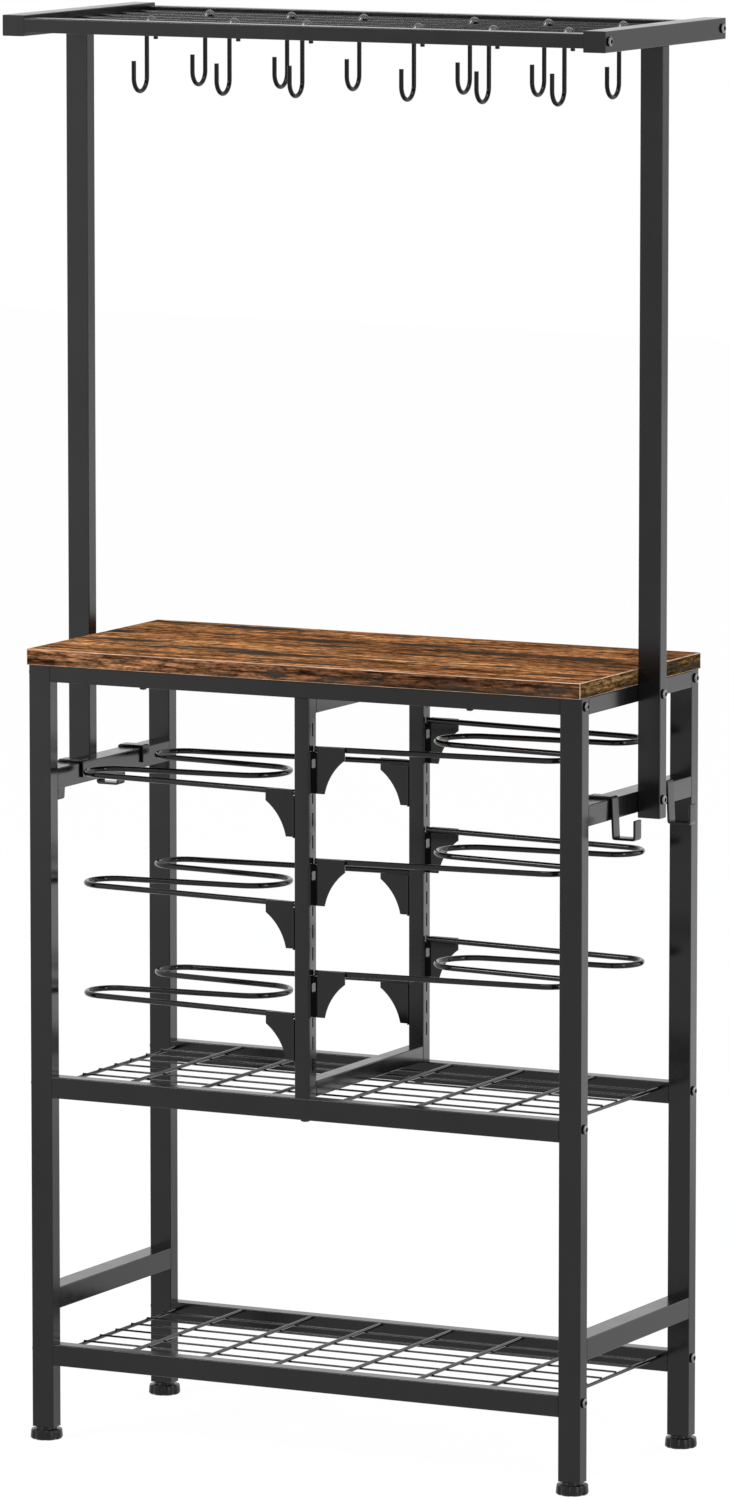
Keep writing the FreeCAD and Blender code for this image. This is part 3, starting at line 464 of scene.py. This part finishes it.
TUBES = {"leg": "z", "post": "z", "top_side_rail": "y", "hook_rail": "y", "lower_side_rail": "y",
         "gantry_side_rail": "y", "top_rail": "x", "middle_rail": "x", "bottom_rail": "x",
         "gantry_rail": "x", "divider_bar": "y"}
TUBE_AXES = {"x": (X_AXIS, Z_AXIS), "y": (Y_AXIS, Z_AXIS), "z": (Z_AXIS, Y_AXIS)}
TUBE_ROUND = 1.2 * MM
TUBE_EASE = 0.3 * MM


def add_tube(bm, low, high, along):
    """A closed rectangular tube that fills a box, with round long edges."""
    axis, binormal = TUBE_AXES[along]
    middle = (low + high) / 2
    half = (high - low) / 2
    length = abs(half.dot(axis))
    across = binormal.cross(axis)
    outline = round_outline(abs(half.dot(across)), abs(half.dot(binormal)), TUBE_ROUND, 5)
    sweep(bm, [middle - axis * length, middle + axis * length], binormal, outline, TUBE_EASE)


def tubes():
    """Every tube of the frame, each as large as the box of its CAD node."""
    for name in sorted(frame["nodes"]):
        along = next((axis for start, axis in TUBES.items() if name.startswith(start + "_")), None)
        if along is None or name == "leg_inserts":
            continue
        bm = bmesh.new()
        low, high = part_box(name)
        add_tube(bm, low, high, along)
        piece(name + "_coated", bm, "frame", [name], "frame_paint", FRAME_PAINT)


# Slotted uprights of the divider, in millimetres

UPRIGHT_WALL = 1.5
UPRIGHT_ROUND = 2.0
UPRIGHT_INNER_ROUND = 0.6
SLOT_COUNT = 16
SLOT_TOP_MIDDLE = 893.8
SLOT_PITCH = 27.0
SLOT_HALF_TALL = 8.0
SLOT_HALF_WIDE = 1.5
CORNER_STEPS = 4


def slotted_outline(half, radius):
    """A square with round corners, and the numbers of its two sides that the slots cut."""
    corners = round_outline(half, half, radius, CORNER_STEPS)
    turn = 2 * (CORNER_STEPS + 1)
    slot = SLOT_HALF_WIDE * MM
    left = [(-half, slot), (-half, -slot)]
    right = [(half, -slot), (half, slot)]
    return corners[:turn] + left + corners[turn:] + right, (turn, 2 * turn + 2)


def divider_uprights():
    """Each upright with its row of slots through both side faces."""
    for end in ENDS:
        node = "divider_upright_" + end
        low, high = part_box(node)
        middle = (low + high) / 2
        half = (high.x - low.x) / 2
        rows = [low.z]
        for number in reversed(range(SLOT_COUNT)):
            slot = (SLOT_TOP_MIDDLE - SLOT_PITCH * number) * MM
            rows += [slot - SLOT_HALF_TALL * MM, slot + SLOT_HALF_TALL * MM]
        rows.append(high.z)
        bm = bmesh.new()
        shells = []
        for reach, radius in ((half, UPRIGHT_ROUND * MM),
                              (half - UPRIGHT_WALL * MM, UPRIGHT_INNER_ROUND * MM)):
            outline, slot_sides = slotted_outline(reach, radius)
            shells.append([add_ring(bm, Vector((middle.x, middle.y, height)),
                                    X_AXIS, Y_AXIS, outline) for height in rows])
        outer, inner = shells
        count = len(outer[0])
        for row in range(len(rows) - 1):
            is_slot = row % 2 == 1
            for number in range(count):
                following = (number + 1) % count
                corners = [(row, number), (row, following), (row + 1, following), (row + 1, number)]
                if is_slot and number in slot_sides:
                    for (r1, n1), (r2, n2) in zip(corners, corners[1:] + corners[:1]):
                        bm.faces.new((outer[r1][n1], outer[r2][n2], inner[r2][n2], inner[r1][n1]))
                else:
                    for shell in shells:
                        bm.faces.new([shell[r][n] for r, n in corners])
        bridge(bm, outer[0], inner[0])
        bridge(bm, outer[-1], inner[-1])
        piece(node + "_coated", bm, "frame", [node], "frame_paint", FRAME_PAINT)


# Worktop

BOARD_ROUND = 0.9 * MM


def worktop():
    """The board, with its own materials for the long edges, the ends and the painted highlight
    lines on its upper and upright edges.
    """
    low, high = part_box("worktop")
    bm = bmesh.new()
    bmesh.ops.create_cube(bm, size=1.0)
    for vertex in bm.verts:
        vertex.co = Vector([low[k] if vertex.co[k] < 0 else high[k] for k in range(3)])
    bmesh.ops.bevel(bm, geom=list(bm.edges), offset=BOARD_ROUND, segments=3, profile=0.5,
                    affect="EDGES")
    bm.normal_update()
    for face in bm.faces:
        flat = max(abs(part) for part in face.normal) >= 0.98
        upper = face.calc_center_median().z > high.z - 2 * MM
        upright = abs(face.normal.z) < 0.3
        # Round faces on the upper and upright edges take the painted highlight line; the lower ones
        # take the edge print.
        if not flat:
            face.material_index = LINE_SLOT if upper or upright else EDGE_SLOT
        elif abs(face.normal.y) > 0.5:
            face.material_index = EDGE_SLOT
        elif abs(face.normal.x) > 0.5:
            face.material_index = END_SLOT
    piece("worktop_board", bm, "frame", ["worktop"], "worktop_laminate", *BOARD)


# Wire grids, in millimetres

SHELVES = {"mid_shelf_grid": 447.6, "bottom_shelf_grid": 116.5}
SHELF_DROP = 2.85
SHELF_LONG_PITCH = 40.5
SHELF_LONG_HALF = 331.5
SHELF_LONG_RADIUS = 1.25
SHELF_CROSS_PITCH = 96.6
SHELF_CROSS_HALF = 142.5
SHELF_CROSS_RADIUS = 2.25
SHELF_END_X = 331.0
RACK_LONG_Z = 1725.2
RACK_LONG_PITCH = 49.7
RACK_LONG_HALF = 371.0
RACK_CROSS_Z = 1722.0
RACK_CROSS_PITCH = 49.1
RACK_CROSS_HALF = 146.5
RACK_RADIUS = 2.0
WIRE_SIDES = 14
WIRE_EASE = 0.25

# Half width and half height of a weld. Those of the shelves stand nearer to the thin wires.
RACK_WELD = (1.7, 1.0)
SHELF_WELD = (1.35, 0.8)
SHELF_WELD_SHIFT = 0.5


def centred_row(pitch, count):
    """An even number of places at an even pitch, centred on 0."""
    return [pitch * (k + 0.5) for k in range(-count // 2, count // 2)]


def add_wire(bm, one, two, radius):
    """A straight wire between two points."""
    outline = circle(radius * MM, WIRE_SIDES)
    sweep(bm, [Vector(one) * MM, Vector(two) * MM], Z_AXIS, outline, WIRE_EASE * MM)


def add_weld(bm, centre, wide, tall):
    """A small fused lump where two wires cross."""
    wide = wide * MM * random.uniform(0.92, 1.08)
    tall = tall * MM
    turn = random.uniform(0, math.pi)
    for vertex in bmesh.ops.create_icosphere(bm, subdivisions=2, radius=1.0)["verts"]:
        x, y, z = vertex.co
        x, y = x * math.cos(turn) - y * math.sin(turn), x * math.sin(turn) + y * math.cos(turn)
        vertex.co = Vector(centre) * MM + Vector((x * wide, y * wide, z * tall))


def shelf_grids():
    """Thin long wires under thick cross wires, with one more cross wire under each end."""
    for node, cross_z in SHELVES.items():
        bm = bmesh.new()
        long_z = cross_z - SHELF_DROP
        cross = [(x, cross_z) for x in centred_row(SHELF_CROSS_PITCH, 6)]
        cross += [(SHELF_END_X * sign, long_z - SHELF_DROP) for sign in SIDES.values()]
        for x, z in cross:
            add_wire(bm, (x, -SHELF_CROSS_HALF, z), (x, SHELF_CROSS_HALF, z), SHELF_CROSS_RADIUS)
        for y in centred_row(SHELF_LONG_PITCH, 6):
            add_wire(bm, (-SHELF_LONG_HALF, y, long_z), (SHELF_LONG_HALF, y, long_z),
                     SHELF_LONG_RADIUS)
            for x, z in cross:
                towards_thin = SHELF_WELD_SHIFT if z < long_z else -SHELF_WELD_SHIFT
                add_weld(bm, (x, y, (long_z + z) / 2 + towards_thin), *SHELF_WELD)
        piece(node + "_wires", bm, "frame", [node], "wire_paint", GRID_PAINT, angle=50.0)


def rack_grid():
    """Long wires that carry the S-hooks, over cross wires of the same size."""
    bm = bmesh.new()
    long_places = centred_row(RACK_LONG_PITCH, 6)
    for y in long_places:
        add_wire(bm, (-RACK_LONG_HALF, y, RACK_LONG_Z), (RACK_LONG_HALF, y, RACK_LONG_Z),
                 RACK_RADIUS)
    for x in centred_row(RACK_CROSS_PITCH, 14):
        add_wire(bm, (x, -RACK_CROSS_HALF, RACK_CROSS_Z), (x, RACK_CROSS_HALF, RACK_CROSS_Z),
                 RACK_RADIUS)
        for y in long_places:
            add_weld(bm, (x, y, (RACK_LONG_Z + RACK_CROSS_Z) / 2), *RACK_WELD)
    piece("rack_grid_wires", bm, "frame", ["rack_grid"], "wire_paint", GRID_PAINT, angle=50.0)


# Bolts and screws

# A head's crown from its flat side to the socket, as shares of its radius and its height.
CROWN = [(0.985, 0.0), (1.0, 0.10), (0.995, 0.40), (0.97, 0.58), (0.90, 0.72), (0.78, 0.85),
         (0.64, 0.95), (0.50, 1.0)]
CROWN_SIDES = 36
# How many bands of the crown, from its flat side, stay black below the painted highlight.
UNHIGHLIGHTED_BANDS = 3

# Radius, height and socket of a head, and radius and length of a shank, in millimetres.
BOLT_HEAD = (5.85, 3.3, 2.15)
SCREW_HEAD = (4.4, 3.3, 1.6)
FRAME_SHANK = (3.0, 35.0)
SCREW_SHANK = (2.0, 31.5)
DIVIDER_SHANK = (3.0, 30.0)

# Where the heads stand at the back and on the right, in millimetres; the others mirror them.
CORNER_BOLTS = [(370.5, LEG_Y, 110.7), (370.5, LEG_Y, 439.5), (370.5, LEG_Y, 942.5),
                (400.0, 156.25, 1722.5)]
POST_BOLTS = [(399.8, 0.0, 942.0), (399.8, 0.0, 815.5)]
SCREW_PLACE = (219.0, LEG_Y, 932.0)

# The heights of the heads at each end of the divider, and the ways that they face.
DIVIDER_BOLTS = [(422.9, -Z_AXIS), (933.2, Z_AXIS)]


def facing(place, direction):
    """A matrix that moves the origin to a place and turns Z to a direction."""
    return Matrix.Translation(place) @ direction.to_track_quat("Z", "Y").to_matrix().to_4x4()


def add_head(bm, place, direction, radius, tall, socket):
    """A button head with a hexagon socket, its flat side at place, facing direction."""
    radius, tall, socket = radius * MM, tall * MM, socket * MM
    spin = Matrix.Rotation(random.uniform(0, math.pi), 4, "Z")
    matrix = facing(place, direction) @ spin
    crown = [(radius * reach, tall * height) for reach, height in CROWN]
    rings = lathe_rings(bm, crown, matrix, CROWN_SIDES)
    before = len(bm.faces)
    for one, two in zip(rings, rings[1:]):
        bridge(bm, one, two)
    # The crown above those bands takes the painted highlight material.
    bm.faces.ensure_lookup_table()
    for face in bm.faces[before + UNHIGHLIGHTED_BANDS * CROWN_SIDES:]:
        face.material_index = 1
    bm.faces.new(list(reversed(rings[0])))

    def hexagon(row, angle):
        return math.cos(math.pi / 6) / math.cos((angle % (math.pi / 3)) - math.pi / 6)

    hollow = [(socket * 1.08, tall), (socket, tall - 0.15 * MM), (socket, tall * 0.42)]
    edge = rings[-1]
    for ring in lathe_rings(bm, hollow, matrix, CROWN_SIDES, hexagon):
        bridge(bm, edge, ring)
        edge = ring
    bm.faces.new(edge)


def add_shank(bm, place, direction, radius, length):
    """A shank that runs back from a head's flat side, with a chamfered tip."""
    radius, length = radius * MM, length * MM
    rows = [(radius * 0.8, -length), (radius, -length + 0.8 * MM), (radius, 0.2 * MM)]
    skin(bm, lathe_rings(bm, rows, facing(place, direction), 16))


def add_fasteners(name, node, places, head, shank):
    """One piece of all the bolts or screws of a node, each given as (place, direction)."""
    bm = bmesh.new()
    for place, direction in places:
        add_head(bm, Vector(place) * MM, direction, *head)
        add_shank(bm, Vector(place) * MM, direction, *shank)
    piece(name, bm, "frame", [node], "black_steel", BOLT_BLACK, BOLT_CROWN_HIGHLIGHT, angle=30.0)


def fasteners():
    """The heads and shanks of the frame's bolts, the worktop's screws and the divider's bolts."""
    right = [(x, y * end, z) for end in ENDS.values() for x, y, z in CORNER_BOLTS] + POST_BOLTS
    places = [((sign * x, y, z), X_AXIS * sign) for sign in SIDES.values() for x, y, z in right]
    add_fasteners("frame_bolt_heads", "frame_bolts", places, BOLT_HEAD, FRAME_SHANK)

    x, y, z = SCREW_PLACE
    places = [((x * sign, y * end, z), -Z_AXIS) for end in ENDS.values() for sign in SIDES.values()]
    add_fasteners("worktop_screw_heads", "worktop_screws", places, SCREW_HEAD, SCREW_SHANK)

    places = [((0, LEG_Y * end, z), direction) for end in ENDS.values()
              for z, direction in DIVIDER_BOLTS]
    add_fasteners("divider_bolt_heads", "divider_bolts", places, BOLT_HEAD, DIVIDER_SHANK)


# Feet

# Radius and height of each row, in millimetres: the knob, the hub over it, then the stud.
FOOT_ROWS = [
    (17.2, 0.0), (17.9, 0.35), (18.7, 1.2), (19.3, 2.0), (19.15, 4.0), (18.6, 10.4), (18.1, 11.7),
    (17.2, 12.2), (13.2, 12.35), (13.0, 12.6), (12.9, 14.4), (12.5, 15.0),
    (4.1, 15.0), (4.0, 15.3), (4.0, 39.3), (3.2, 40.0),
]
KNOB_ROWS = 7
LOBES = 8
FOOT_SIDES = 160


def lobed(row, angle):
    """The knob's lobes, with narrow grooves between them."""
    groove = ((1 - math.cos(LOBES * angle)) / 2) ** 4
    return 1.031 - 0.075 * groove if row < KNOB_ROWS else 1.0


def feet():
    """A lobed knob, a round hub over it and the stud that goes up into the leg."""
    rows = [(radius * MM, height * MM) for radius, height in FOOT_ROWS]
    for end, end_sign in ENDS.items():
        for side, side_sign in SIDES.items():
            node = "foot_%s_%s" % (end, side)
            bm = bmesh.new()
            matrix = Matrix.Translation(Vector((LEG_X * side_sign, LEG_Y * end_sign, 0)) * MM)
            skin(bm, lathe_rings(bm, rows, matrix, FOOT_SIDES, lobed))
            piece(node + "_moulding", bm, node, [node], "foot_plastic", FOOT_PLASTIC, angle=40.0)


# S-hooks, in millimetres

HOOK_PLACES = (-247.0, -135.1, -37.3, 111.1, 209.8, 308.4)
HOOK_ROW_Y = 1.5 * RACK_LONG_PITCH
HOOK_TOP = 1733.0
HOOK_LOOP = 11.3
HOOK_MOUTH = 16.5
HOOK_RADIUS = 2.75
HOOK_SIDES = 18
HOOK_EASE = 0.35
HOOK_BOTTOM = -91.8
HOOK_TIP = 39.8
LOOP_TAIL = -28.7
# The height above which an S-hook's loop takes the painted highlight coat.
LOOP_HIGHLIGHT_ABOVE = 1722.0


def hook_path():
    """The middle of an S-hook's wire, as y and z from the top of its loop."""
    middle = -HOOK_LOOP - HOOK_MOUTH
    path = [(HOOK_LOOP, LOOP_TAIL)]
    path += arc((0.0, -HOOK_RADIUS - HOOK_LOOP), HOOK_LOOP, 0, 180, 22)
    path += arc((middle, HOOK_BOTTOM + HOOK_RADIUS + HOOK_MOUTH), HOOK_MOUTH, 0, -180, 26)
    path.append((middle - HOOK_MOUTH, HOOK_BOTTOM + HOOK_TIP))
    return path


def s_hooks():
    """A front row and a back row of S-hooks, the tops of their loops lighter and glossier as a
    painted highlight.
    """
    for end, sign in ENDS.items():
        for number, x in enumerate(HOOK_PLACES, start=1):
            node = "s_hook_%s_%d" % (end, number)
            points = [Vector((x, HOOK_ROW_Y * sign + y, HOOK_TOP + z)) * MM
                      for y, z in hook_path()]
            bm = bmesh.new()
            sweep(bm, points, X_AXIS, circle(HOOK_RADIUS * MM, HOOK_SIDES), HOOK_EASE * MM)
            # Faces high on the loop take the painted highlight coat.
            for face in bm.faces:
                face.material_index = int(face.calc_center_median().z > LOOP_HIGHLIGHT_ABOVE * MM)
            piece(node + "_wire", bm, node, [node], "wire_paint", HOOK_PAINT, LOOP_HIGHLIGHT_PAINT,
                  angle=50.0)


# Flat hooks on the side rails, in millimetres

BAR_HALF_THICK = 1.5
BAR_HALF_WIDE = 8.5
BAR_ROUND = 0.7
BAR_EASE = 0.4
BAR_PLACE_Y = 77.0
BAR_CORNERS = [(339.7, 806.6), (339.7, 826.4), (372.3, 826.4), (374.7, 777.7), (402.4, 777.7),
               (402.4, 800.4)]
BAR_BENDS = [2.5, 2.5, 2.1, 2.1]


def eased(corners, radii, steps):
    """A path through corners whose inner corners are rounded."""
    points = [corners[0]]
    for number, radius in enumerate(radii, start=1):
        corner = corners[number]
        back = (corners[number - 1] - corner).normalized()
        ahead = (corners[number + 1] - corner).normalized()
        half = back.angle(ahead) / 2
        centre = corner + (back + ahead).normalized() * (radius / math.sin(half))
        first = corner + back * (radius / math.tan(half)) - centre
        last = corner + ahead * (radius / math.tan(half)) - centre
        swept = first.angle(last)
        for step in range(steps + 1):
            share = step / steps
            early = math.sin((1 - share) * swept) / math.sin(swept)
            late = math.sin(share * swept) / math.sin(swept)
            points.append(centre + first * early + last * late)
    points.append(corners[-1])
    return points


def side_hooks():
    """A flat bar bent over the rail; the path is the middle of its thickness."""
    outline = round_outline(BAR_HALF_THICK * MM, BAR_HALF_WIDE * MM, BAR_ROUND * MM, 3)
    for side, sign in SIDES.items():
        for end, end_sign in ENDS.items():
            node = "side_hook_%s_%s" % (side, end)
            corners = [Vector((sign * x, BAR_PLACE_Y * end_sign, z)) * MM for x, z in BAR_CORNERS]
            points = eased(corners, [radius * MM for radius in BAR_BENDS], 8)
            bm = bmesh.new()
            sweep(bm, points, Y_AXIS, outline, BAR_EASE * MM)
            piece(node + "_bar", bm, node, [node], "frame_paint", FRAME_PAINT)


# Pan holders, in millimetres

PAN_TOPS = {"left": 820.2, "right": 874.2}
PAN_PITCH = 135.0
PAN_WIRE_RADIUS = 3.5
PAN_WIRE_SIDES = 18
PAN_WIRE_EASE = 0.3
PAN_START = (12.0, -149.3)

# The wire's three bends: x, y, radius and the way it turns.
PAN_BENDS = [(294.0, -90.9, 32.5, 1), (149.0, 0.0, 44.5, -1), (294.0, 90.9, 32.5, 1)]

# The brackets, with their faces against the uprights at FLANGE_X, and heights from the top.
BRACKET_Y = 152.0
BRACKET_LONG = 53.2
BRACKET_TALL = 57.0
BRACKET_HOLLOW = 67.5
FLANGE_X = 10.2
FLANGE_TOP = -7.1
WINDOW_LOW = -26.6
TAB_PITCH = 27.0
PLATE_ROUND = 0.3


def tangents(start, circles, stop):
    """Where a taut line round circles (x, y, radius, turn) leaves and meets each one."""
    chain = [(*start, 0.0, 1)] + circles + [(*stop, 0.0, 1)]
    touches = []
    for one, two in zip(chain, chain[1:]):
        dx, dy = two[0] - one[0], two[1] - one[1]
        reach = math.hypot(dx, dy)
        heading = math.atan2(dy, dx) + math.asin((one[2] * one[3] - two[2] * two[3]) / reach)
        normal = (math.sin(heading), -math.cos(heading))
        touches.append([(x + normal[0] * radius * turn, y + normal[1] * radius * turn)
                        for x, y, radius, turn in (one, two)])
    return touches


def pan_wire_path():
    """The middle of the wire, from one bracket round the three bends to the other."""
    stop = (PAN_START[0], -PAN_START[1])
    touches = tangents(PAN_START, PAN_BENDS, stop)
    points = [PAN_START]
    for number, (x, y, radius, turn) in enumerate(PAN_BENDS):
        meet = touches[number][1]
        leave = touches[number + 1][0]
        from_angle = math.degrees(math.atan2(meet[1] - y, meet[0] - x))
        to_angle = math.degrees(math.atan2(leave[1] - y, leave[0] - x))
        while (to_angle - from_angle) * turn < 0:
            to_angle += 360 * turn
        points += arc((x, y), radius, from_angle, to_angle, 30)
    points.append(stop)
    return points


def add_web(bm):
    """The bracket's plate square to Y, with its two hooked tabs and its hollow lower edge."""
    inner, behind, end = FLANGE_X, 8.1, 6.2
    tab_top, tab_root, tab_low = FLANGE_TOP, -15.1, -20.6
    outline = [
        (16.5, 0.0), (16.5, tab_top), (end, tab_top), (end, tab_low), (behind, tab_low),
        (behind, tab_root), (14.0, tab_root), (14.0, WINDOW_LOW), (inner, WINDOW_LOW),
        (inner, tab_top - TAB_PITCH), (end, tab_top - TAB_PITCH), (end, tab_low - TAB_PITCH),
        (behind, tab_low - TAB_PITCH), (behind, tab_root - TAB_PITCH),
        (inner, tab_root - TAB_PITCH), (inner, -BRACKET_TALL), (26.0, -BRACKET_TALL)]
    start, stop = Vector((26.0, -BRACKET_TALL)), Vector((BRACKET_LONG, -15.0))
    chord = stop - start
    left = Vector((-chord.y, chord.x)).normalized()
    centre = (start + stop) / 2 - left * math.sqrt(BRACKET_HOLLOW ** 2 - (chord.length / 2) ** 2)
    angles = [math.degrees(math.atan2(point.y - centre.y, point.x - centre.x))
              for point in (start, stop)]
    outline += arc(centre, BRACKET_HOLLOW, *angles, 14)[1:]
    outline.append((BRACKET_LONG, 0.0))
    near, far = ([bm.verts.new(Vector((x, y, z)) * MM) for x, z in outline] for y in (-1.0, 1.0))
    bridge(bm, near, far)
    bm.faces.new(near)
    bm.faces.new(list(reversed(far)))


def add_flange(bm):
    """The flange against the upright, as a ring of flat cells round its window."""
    across = [-10.0, -6.0, 6.0, 10.0]
    heights = [FLANGE_TOP, -15.2, WINDOW_LOW, -BRACKET_TALL]
    window = (1, 1)
    layers = [[[bm.verts.new(Vector((x, y, z)) * MM) for y in across] for z in heights]
              for x in (FLANGE_X, 12.0)]
    for row in range(3):
        for column in range(3):
            if (row, column) != window:
                for layer in layers:
                    bm.faces.new((layer[row][column], layer[row][column + 1],
                                  layer[row + 1][column + 1], layer[row + 1][column]))
    outside = [(0, 0), (0, 1), (0, 2), (0, 3), (1, 3), (2, 3),
               (3, 3), (3, 2), (3, 1), (3, 0), (2, 0), (1, 0)]
    inside = [(1, 1), (1, 2), (2, 2), (2, 1)]
    for rim in (outside, inside):
        near, far = ([layer[row][column] for row, column in rim] for layer in layers)
        bridge(bm, near, far)


def add_pad(bm):
    """The raised pad that shows in the flange's window, its corners round."""
    outline = round_outline(5.9 * MM, 5.5 * MM, 2.6 * MM, 5)
    skin(bm, [add_ring(bm, Vector((x, 0.0, -20.9)) * MM, Y_AXIS, Z_AXIS, outline, inset * MM)
              for x, inset in ((10.25, 0.0), (11.0, 0.0), (11.3, 0.35))])
    for face in bm.faces:
        face.material_index = 1


def bracket():
    """One bracket, for a wire's end at y 0 with its top at height 0."""
    mesh = bpy.data.meshes.new("bracket")
    whole = bmesh.new()
    for add_part, is_plate in ((add_web, True), (add_flange, True), (add_pad, False)):
        part = bmesh.new()
        add_part(part)
        bmesh.ops.recalc_face_normals(part, faces=part.faces)
        if is_plate:
            round_edges(part, PLATE_ROUND * MM)
        part.to_mesh(mesh)
        whole.from_mesh(mesh)
        part.free()
    whole.to_mesh(mesh)
    whole.free()
    return mesh


def pan_holders():
    """Each holder: the bent wire, and a bracket under both of its ends."""
    path = [Vector((x, y, -PAN_WIRE_RADIUS)) * MM for x, y in pan_wire_path()]
    outline = circle(PAN_WIRE_RADIUS * MM, PAN_WIRE_SIDES)
    mesh = bracket()
    for side, sign in SIDES.items():
        turn = Matrix.Identity(4) if sign > 0 else Matrix.Rotation(math.pi, 4, "Z")
        for level, name in enumerate(("upper", "middle", "lower")):
            node = "pan_holder_%s_%s" % (side, name)
            top = (PAN_TOPS[side] - PAN_PITCH * level) * MM
            bm = bmesh.new()
            sweep(bm, path, Z_AXIS, outline, PAN_WIRE_EASE * MM)
            for end in ENDS.values():
                before = len(bm.verts)
                bm.from_mesh(mesh)
                bm.verts.ensure_lookup_table()
                for vertex in bm.verts[before:]:
                    vertex.co.y += BRACKET_Y * end * MM
            placing = Matrix.Translation((0, 0, top)) @ turn
            bmesh.ops.transform(bm, matrix=placing, verts=bm.verts)
            piece(node + "_wire", bm, node, [node], "wire_paint", WIRE_PAINT, FRAME_PAINT,
                  angle=40.0)
    bpy.data.meshes.remove(mesh)


# Floor, light and camera

WHITE = (1.0, 1.0, 1.0)
FLOOR_HALF = 14.0
FLOOR_PALE = (0.80, 0.80, 0.80)
FLOOR_GLOW = 1.04
FLOOR_SEEN_SHARE = 0.92
WORLD_SOFT = (0.93, 0.96, 1.0)
WORLD_SOFT_LEVEL = 0.55

# Name, place, aim, width, height and power of each lamp. None is seen by the camera.
LAMPS = [
    ("key", (-2.4, -3.6, 3.0), (0, 0, 0.9), 1.1, 0.9, 70.0),
    ("right", (3.4, 2.0, 1.6), (0, 0, 0.9), 2.4, 3.0, 25.0),
    ("strip", (4.0, -2.0, 1.4), (0, 0, 0.9), 0.7, 3.0, 40.0),
    ("top", (0.3, -0.6, 3.6), (0, 0, 1.4), 1.6, 1.0, 36.0),
    ("rear", (1.1, 1.75, 0.55), (0, 0, 0.7), 2.0, 1.1, 3.2),
    ("rear_middle", (0.915, 1.75, 0.36), (0, 0, 0.7), 0.36, 0.46, 0.5),
    ("card", (-2.7, -3.4, 0.9), (-0.3, 0, 0.9), 1.5, 2.4, 6.0),
]

# The camera that the photo's parallel edges give.
VIEW_AZIMUTH = 26.972
VIEW_ELEVATION = 7.613
VIEW_DISTANCE = 11.1935
VIEW_TARGET = (0.00193, 0.0, 0.8509)
VIEW_LENS = 148.46
VIEW_SENSOR = 24.0


def seen_factor(tree):
    """1 for rays from the camera and for reflected or refracted ones, 0 for the rest."""
    path = tree.nodes.new("ShaderNodeLightPath").outputs
    seen = path["Is Camera Ray"]
    for name in ("Is Glossy Ray", "Is Transmission Ray"):
        seen = add_node(tree, "ShaderNodeMath", {0: seen, 1: path[name]}, 0, operation="MAXIMUM")
    return seen


def floor():
    """A plain pale floor that reads white and keeps a faint shadow."""
    bm = bmesh.new()
    bmesh.ops.create_grid(bm, x_segments=2, y_segments=2, size=FLOOR_HALF)
    mesh = bpy.data.meshes.new("floor")
    bm.to_mesh(mesh)
    bm.free()
    thing = bpy.data.objects.new("floor", mesh)
    bpy.context.scene.collection.objects.link(thing)
    material = bpy.data.materials.new("floor_white")
    material.use_nodes = True
    tree = material.node_tree
    tree.nodes.clear()
    pale = add_node(tree, "ShaderNodeBsdfDiffuse", {"Color": FLOOR_PALE}, 0)
    white = add_node(tree, "ShaderNodeEmission", {"Color": WHITE, "Strength": FLOOR_GLOW}, 0)
    share = add_node(tree, "ShaderNodeMath", {0: seen_factor(tree), 1: FLOOR_SEEN_SHARE}, 0,
                     operation="MULTIPLY")
    mixed = add_node(tree, "ShaderNodeMixShader", {0: share, 1: pale, 2: white}, 0)
    add_node(tree, "ShaderNodeOutputMaterial", {"Surface": mixed})
    mesh.materials.append(material)


def world():
    """White to the camera and to reflections, and a softer light on everything else."""
    made = bpy.data.worlds.new("studio")
    bpy.context.scene.world = made
    made.use_nodes = True
    tree = made.node_tree
    tree.nodes.clear()
    soft, white = (add_node(tree, "ShaderNodeBackground", {"Color": colour, "Strength": level}, 0)
                   for colour, level in ((WORLD_SOFT, WORLD_SOFT_LEVEL), (WHITE, 1.0)))
    mixed = add_node(tree, "ShaderNodeMixShader", {0: seen_factor(tree), 1: soft, 2: white}, 0)
    add_node(tree, "ShaderNodeOutputWorld", {"Surface": mixed})


def area_light(name, place, aim, wide, tall, power):
    """A rectangular lamp, hidden from the camera."""
    data = bpy.data.lights.new(name, "AREA")
    data.shape = "RECTANGLE"
    data.size = wide
    data.size_y = tall
    data.energy = power
    lamp = bpy.data.objects.new(name, data)
    lamp.location = place
    lamp.visible_camera = False
    lamp.rotation_euler = (Vector(aim) - Vector(place)).to_track_quat("-Z", "Y").to_euler()
    bpy.context.scene.collection.objects.link(lamp)


def camera():
    """The photo's own view of the rack."""
    azimuth, elevation = math.radians(VIEW_AZIMUTH), math.radians(VIEW_ELEVATION)
    back = Vector((math.sin(azimuth) * math.cos(elevation),
                   -math.cos(azimuth) * math.cos(elevation), math.sin(elevation)))
    data = bpy.data.cameras.new("camera")
    data.sensor_fit = "VERTICAL"
    data.sensor_height = VIEW_SENSOR
    data.sensor_width = VIEW_SENSOR
    data.lens = VIEW_LENS
    data.clip_end = 100.0
    view = bpy.data.objects.new("camera", data)
    view.location = Vector(VIEW_TARGET) + back * VIEW_DISTANCE
    view.rotation_euler = back.to_track_quat("Z", "Y").to_euler()
    bpy.context.scene.collection.objects.link(view)
    bpy.context.scene.camera = view


tubes()
divider_uprights()
worktop()
shelf_grids()
rack_grid()
fasteners()
feet()
s_hooks()
side_hooks()
pan_holders()
plugs = frame["nodes"]["leg_inserts"]
plugs.data.materials.clear()
plugs.data.materials.append(PLUG_PLASTIC)

floor()
world()
for lamp_values in LAMPS:
    area_light(*lamp_values)
camera()
bpy.context.scene.view_settings.view_transform = "Standard"
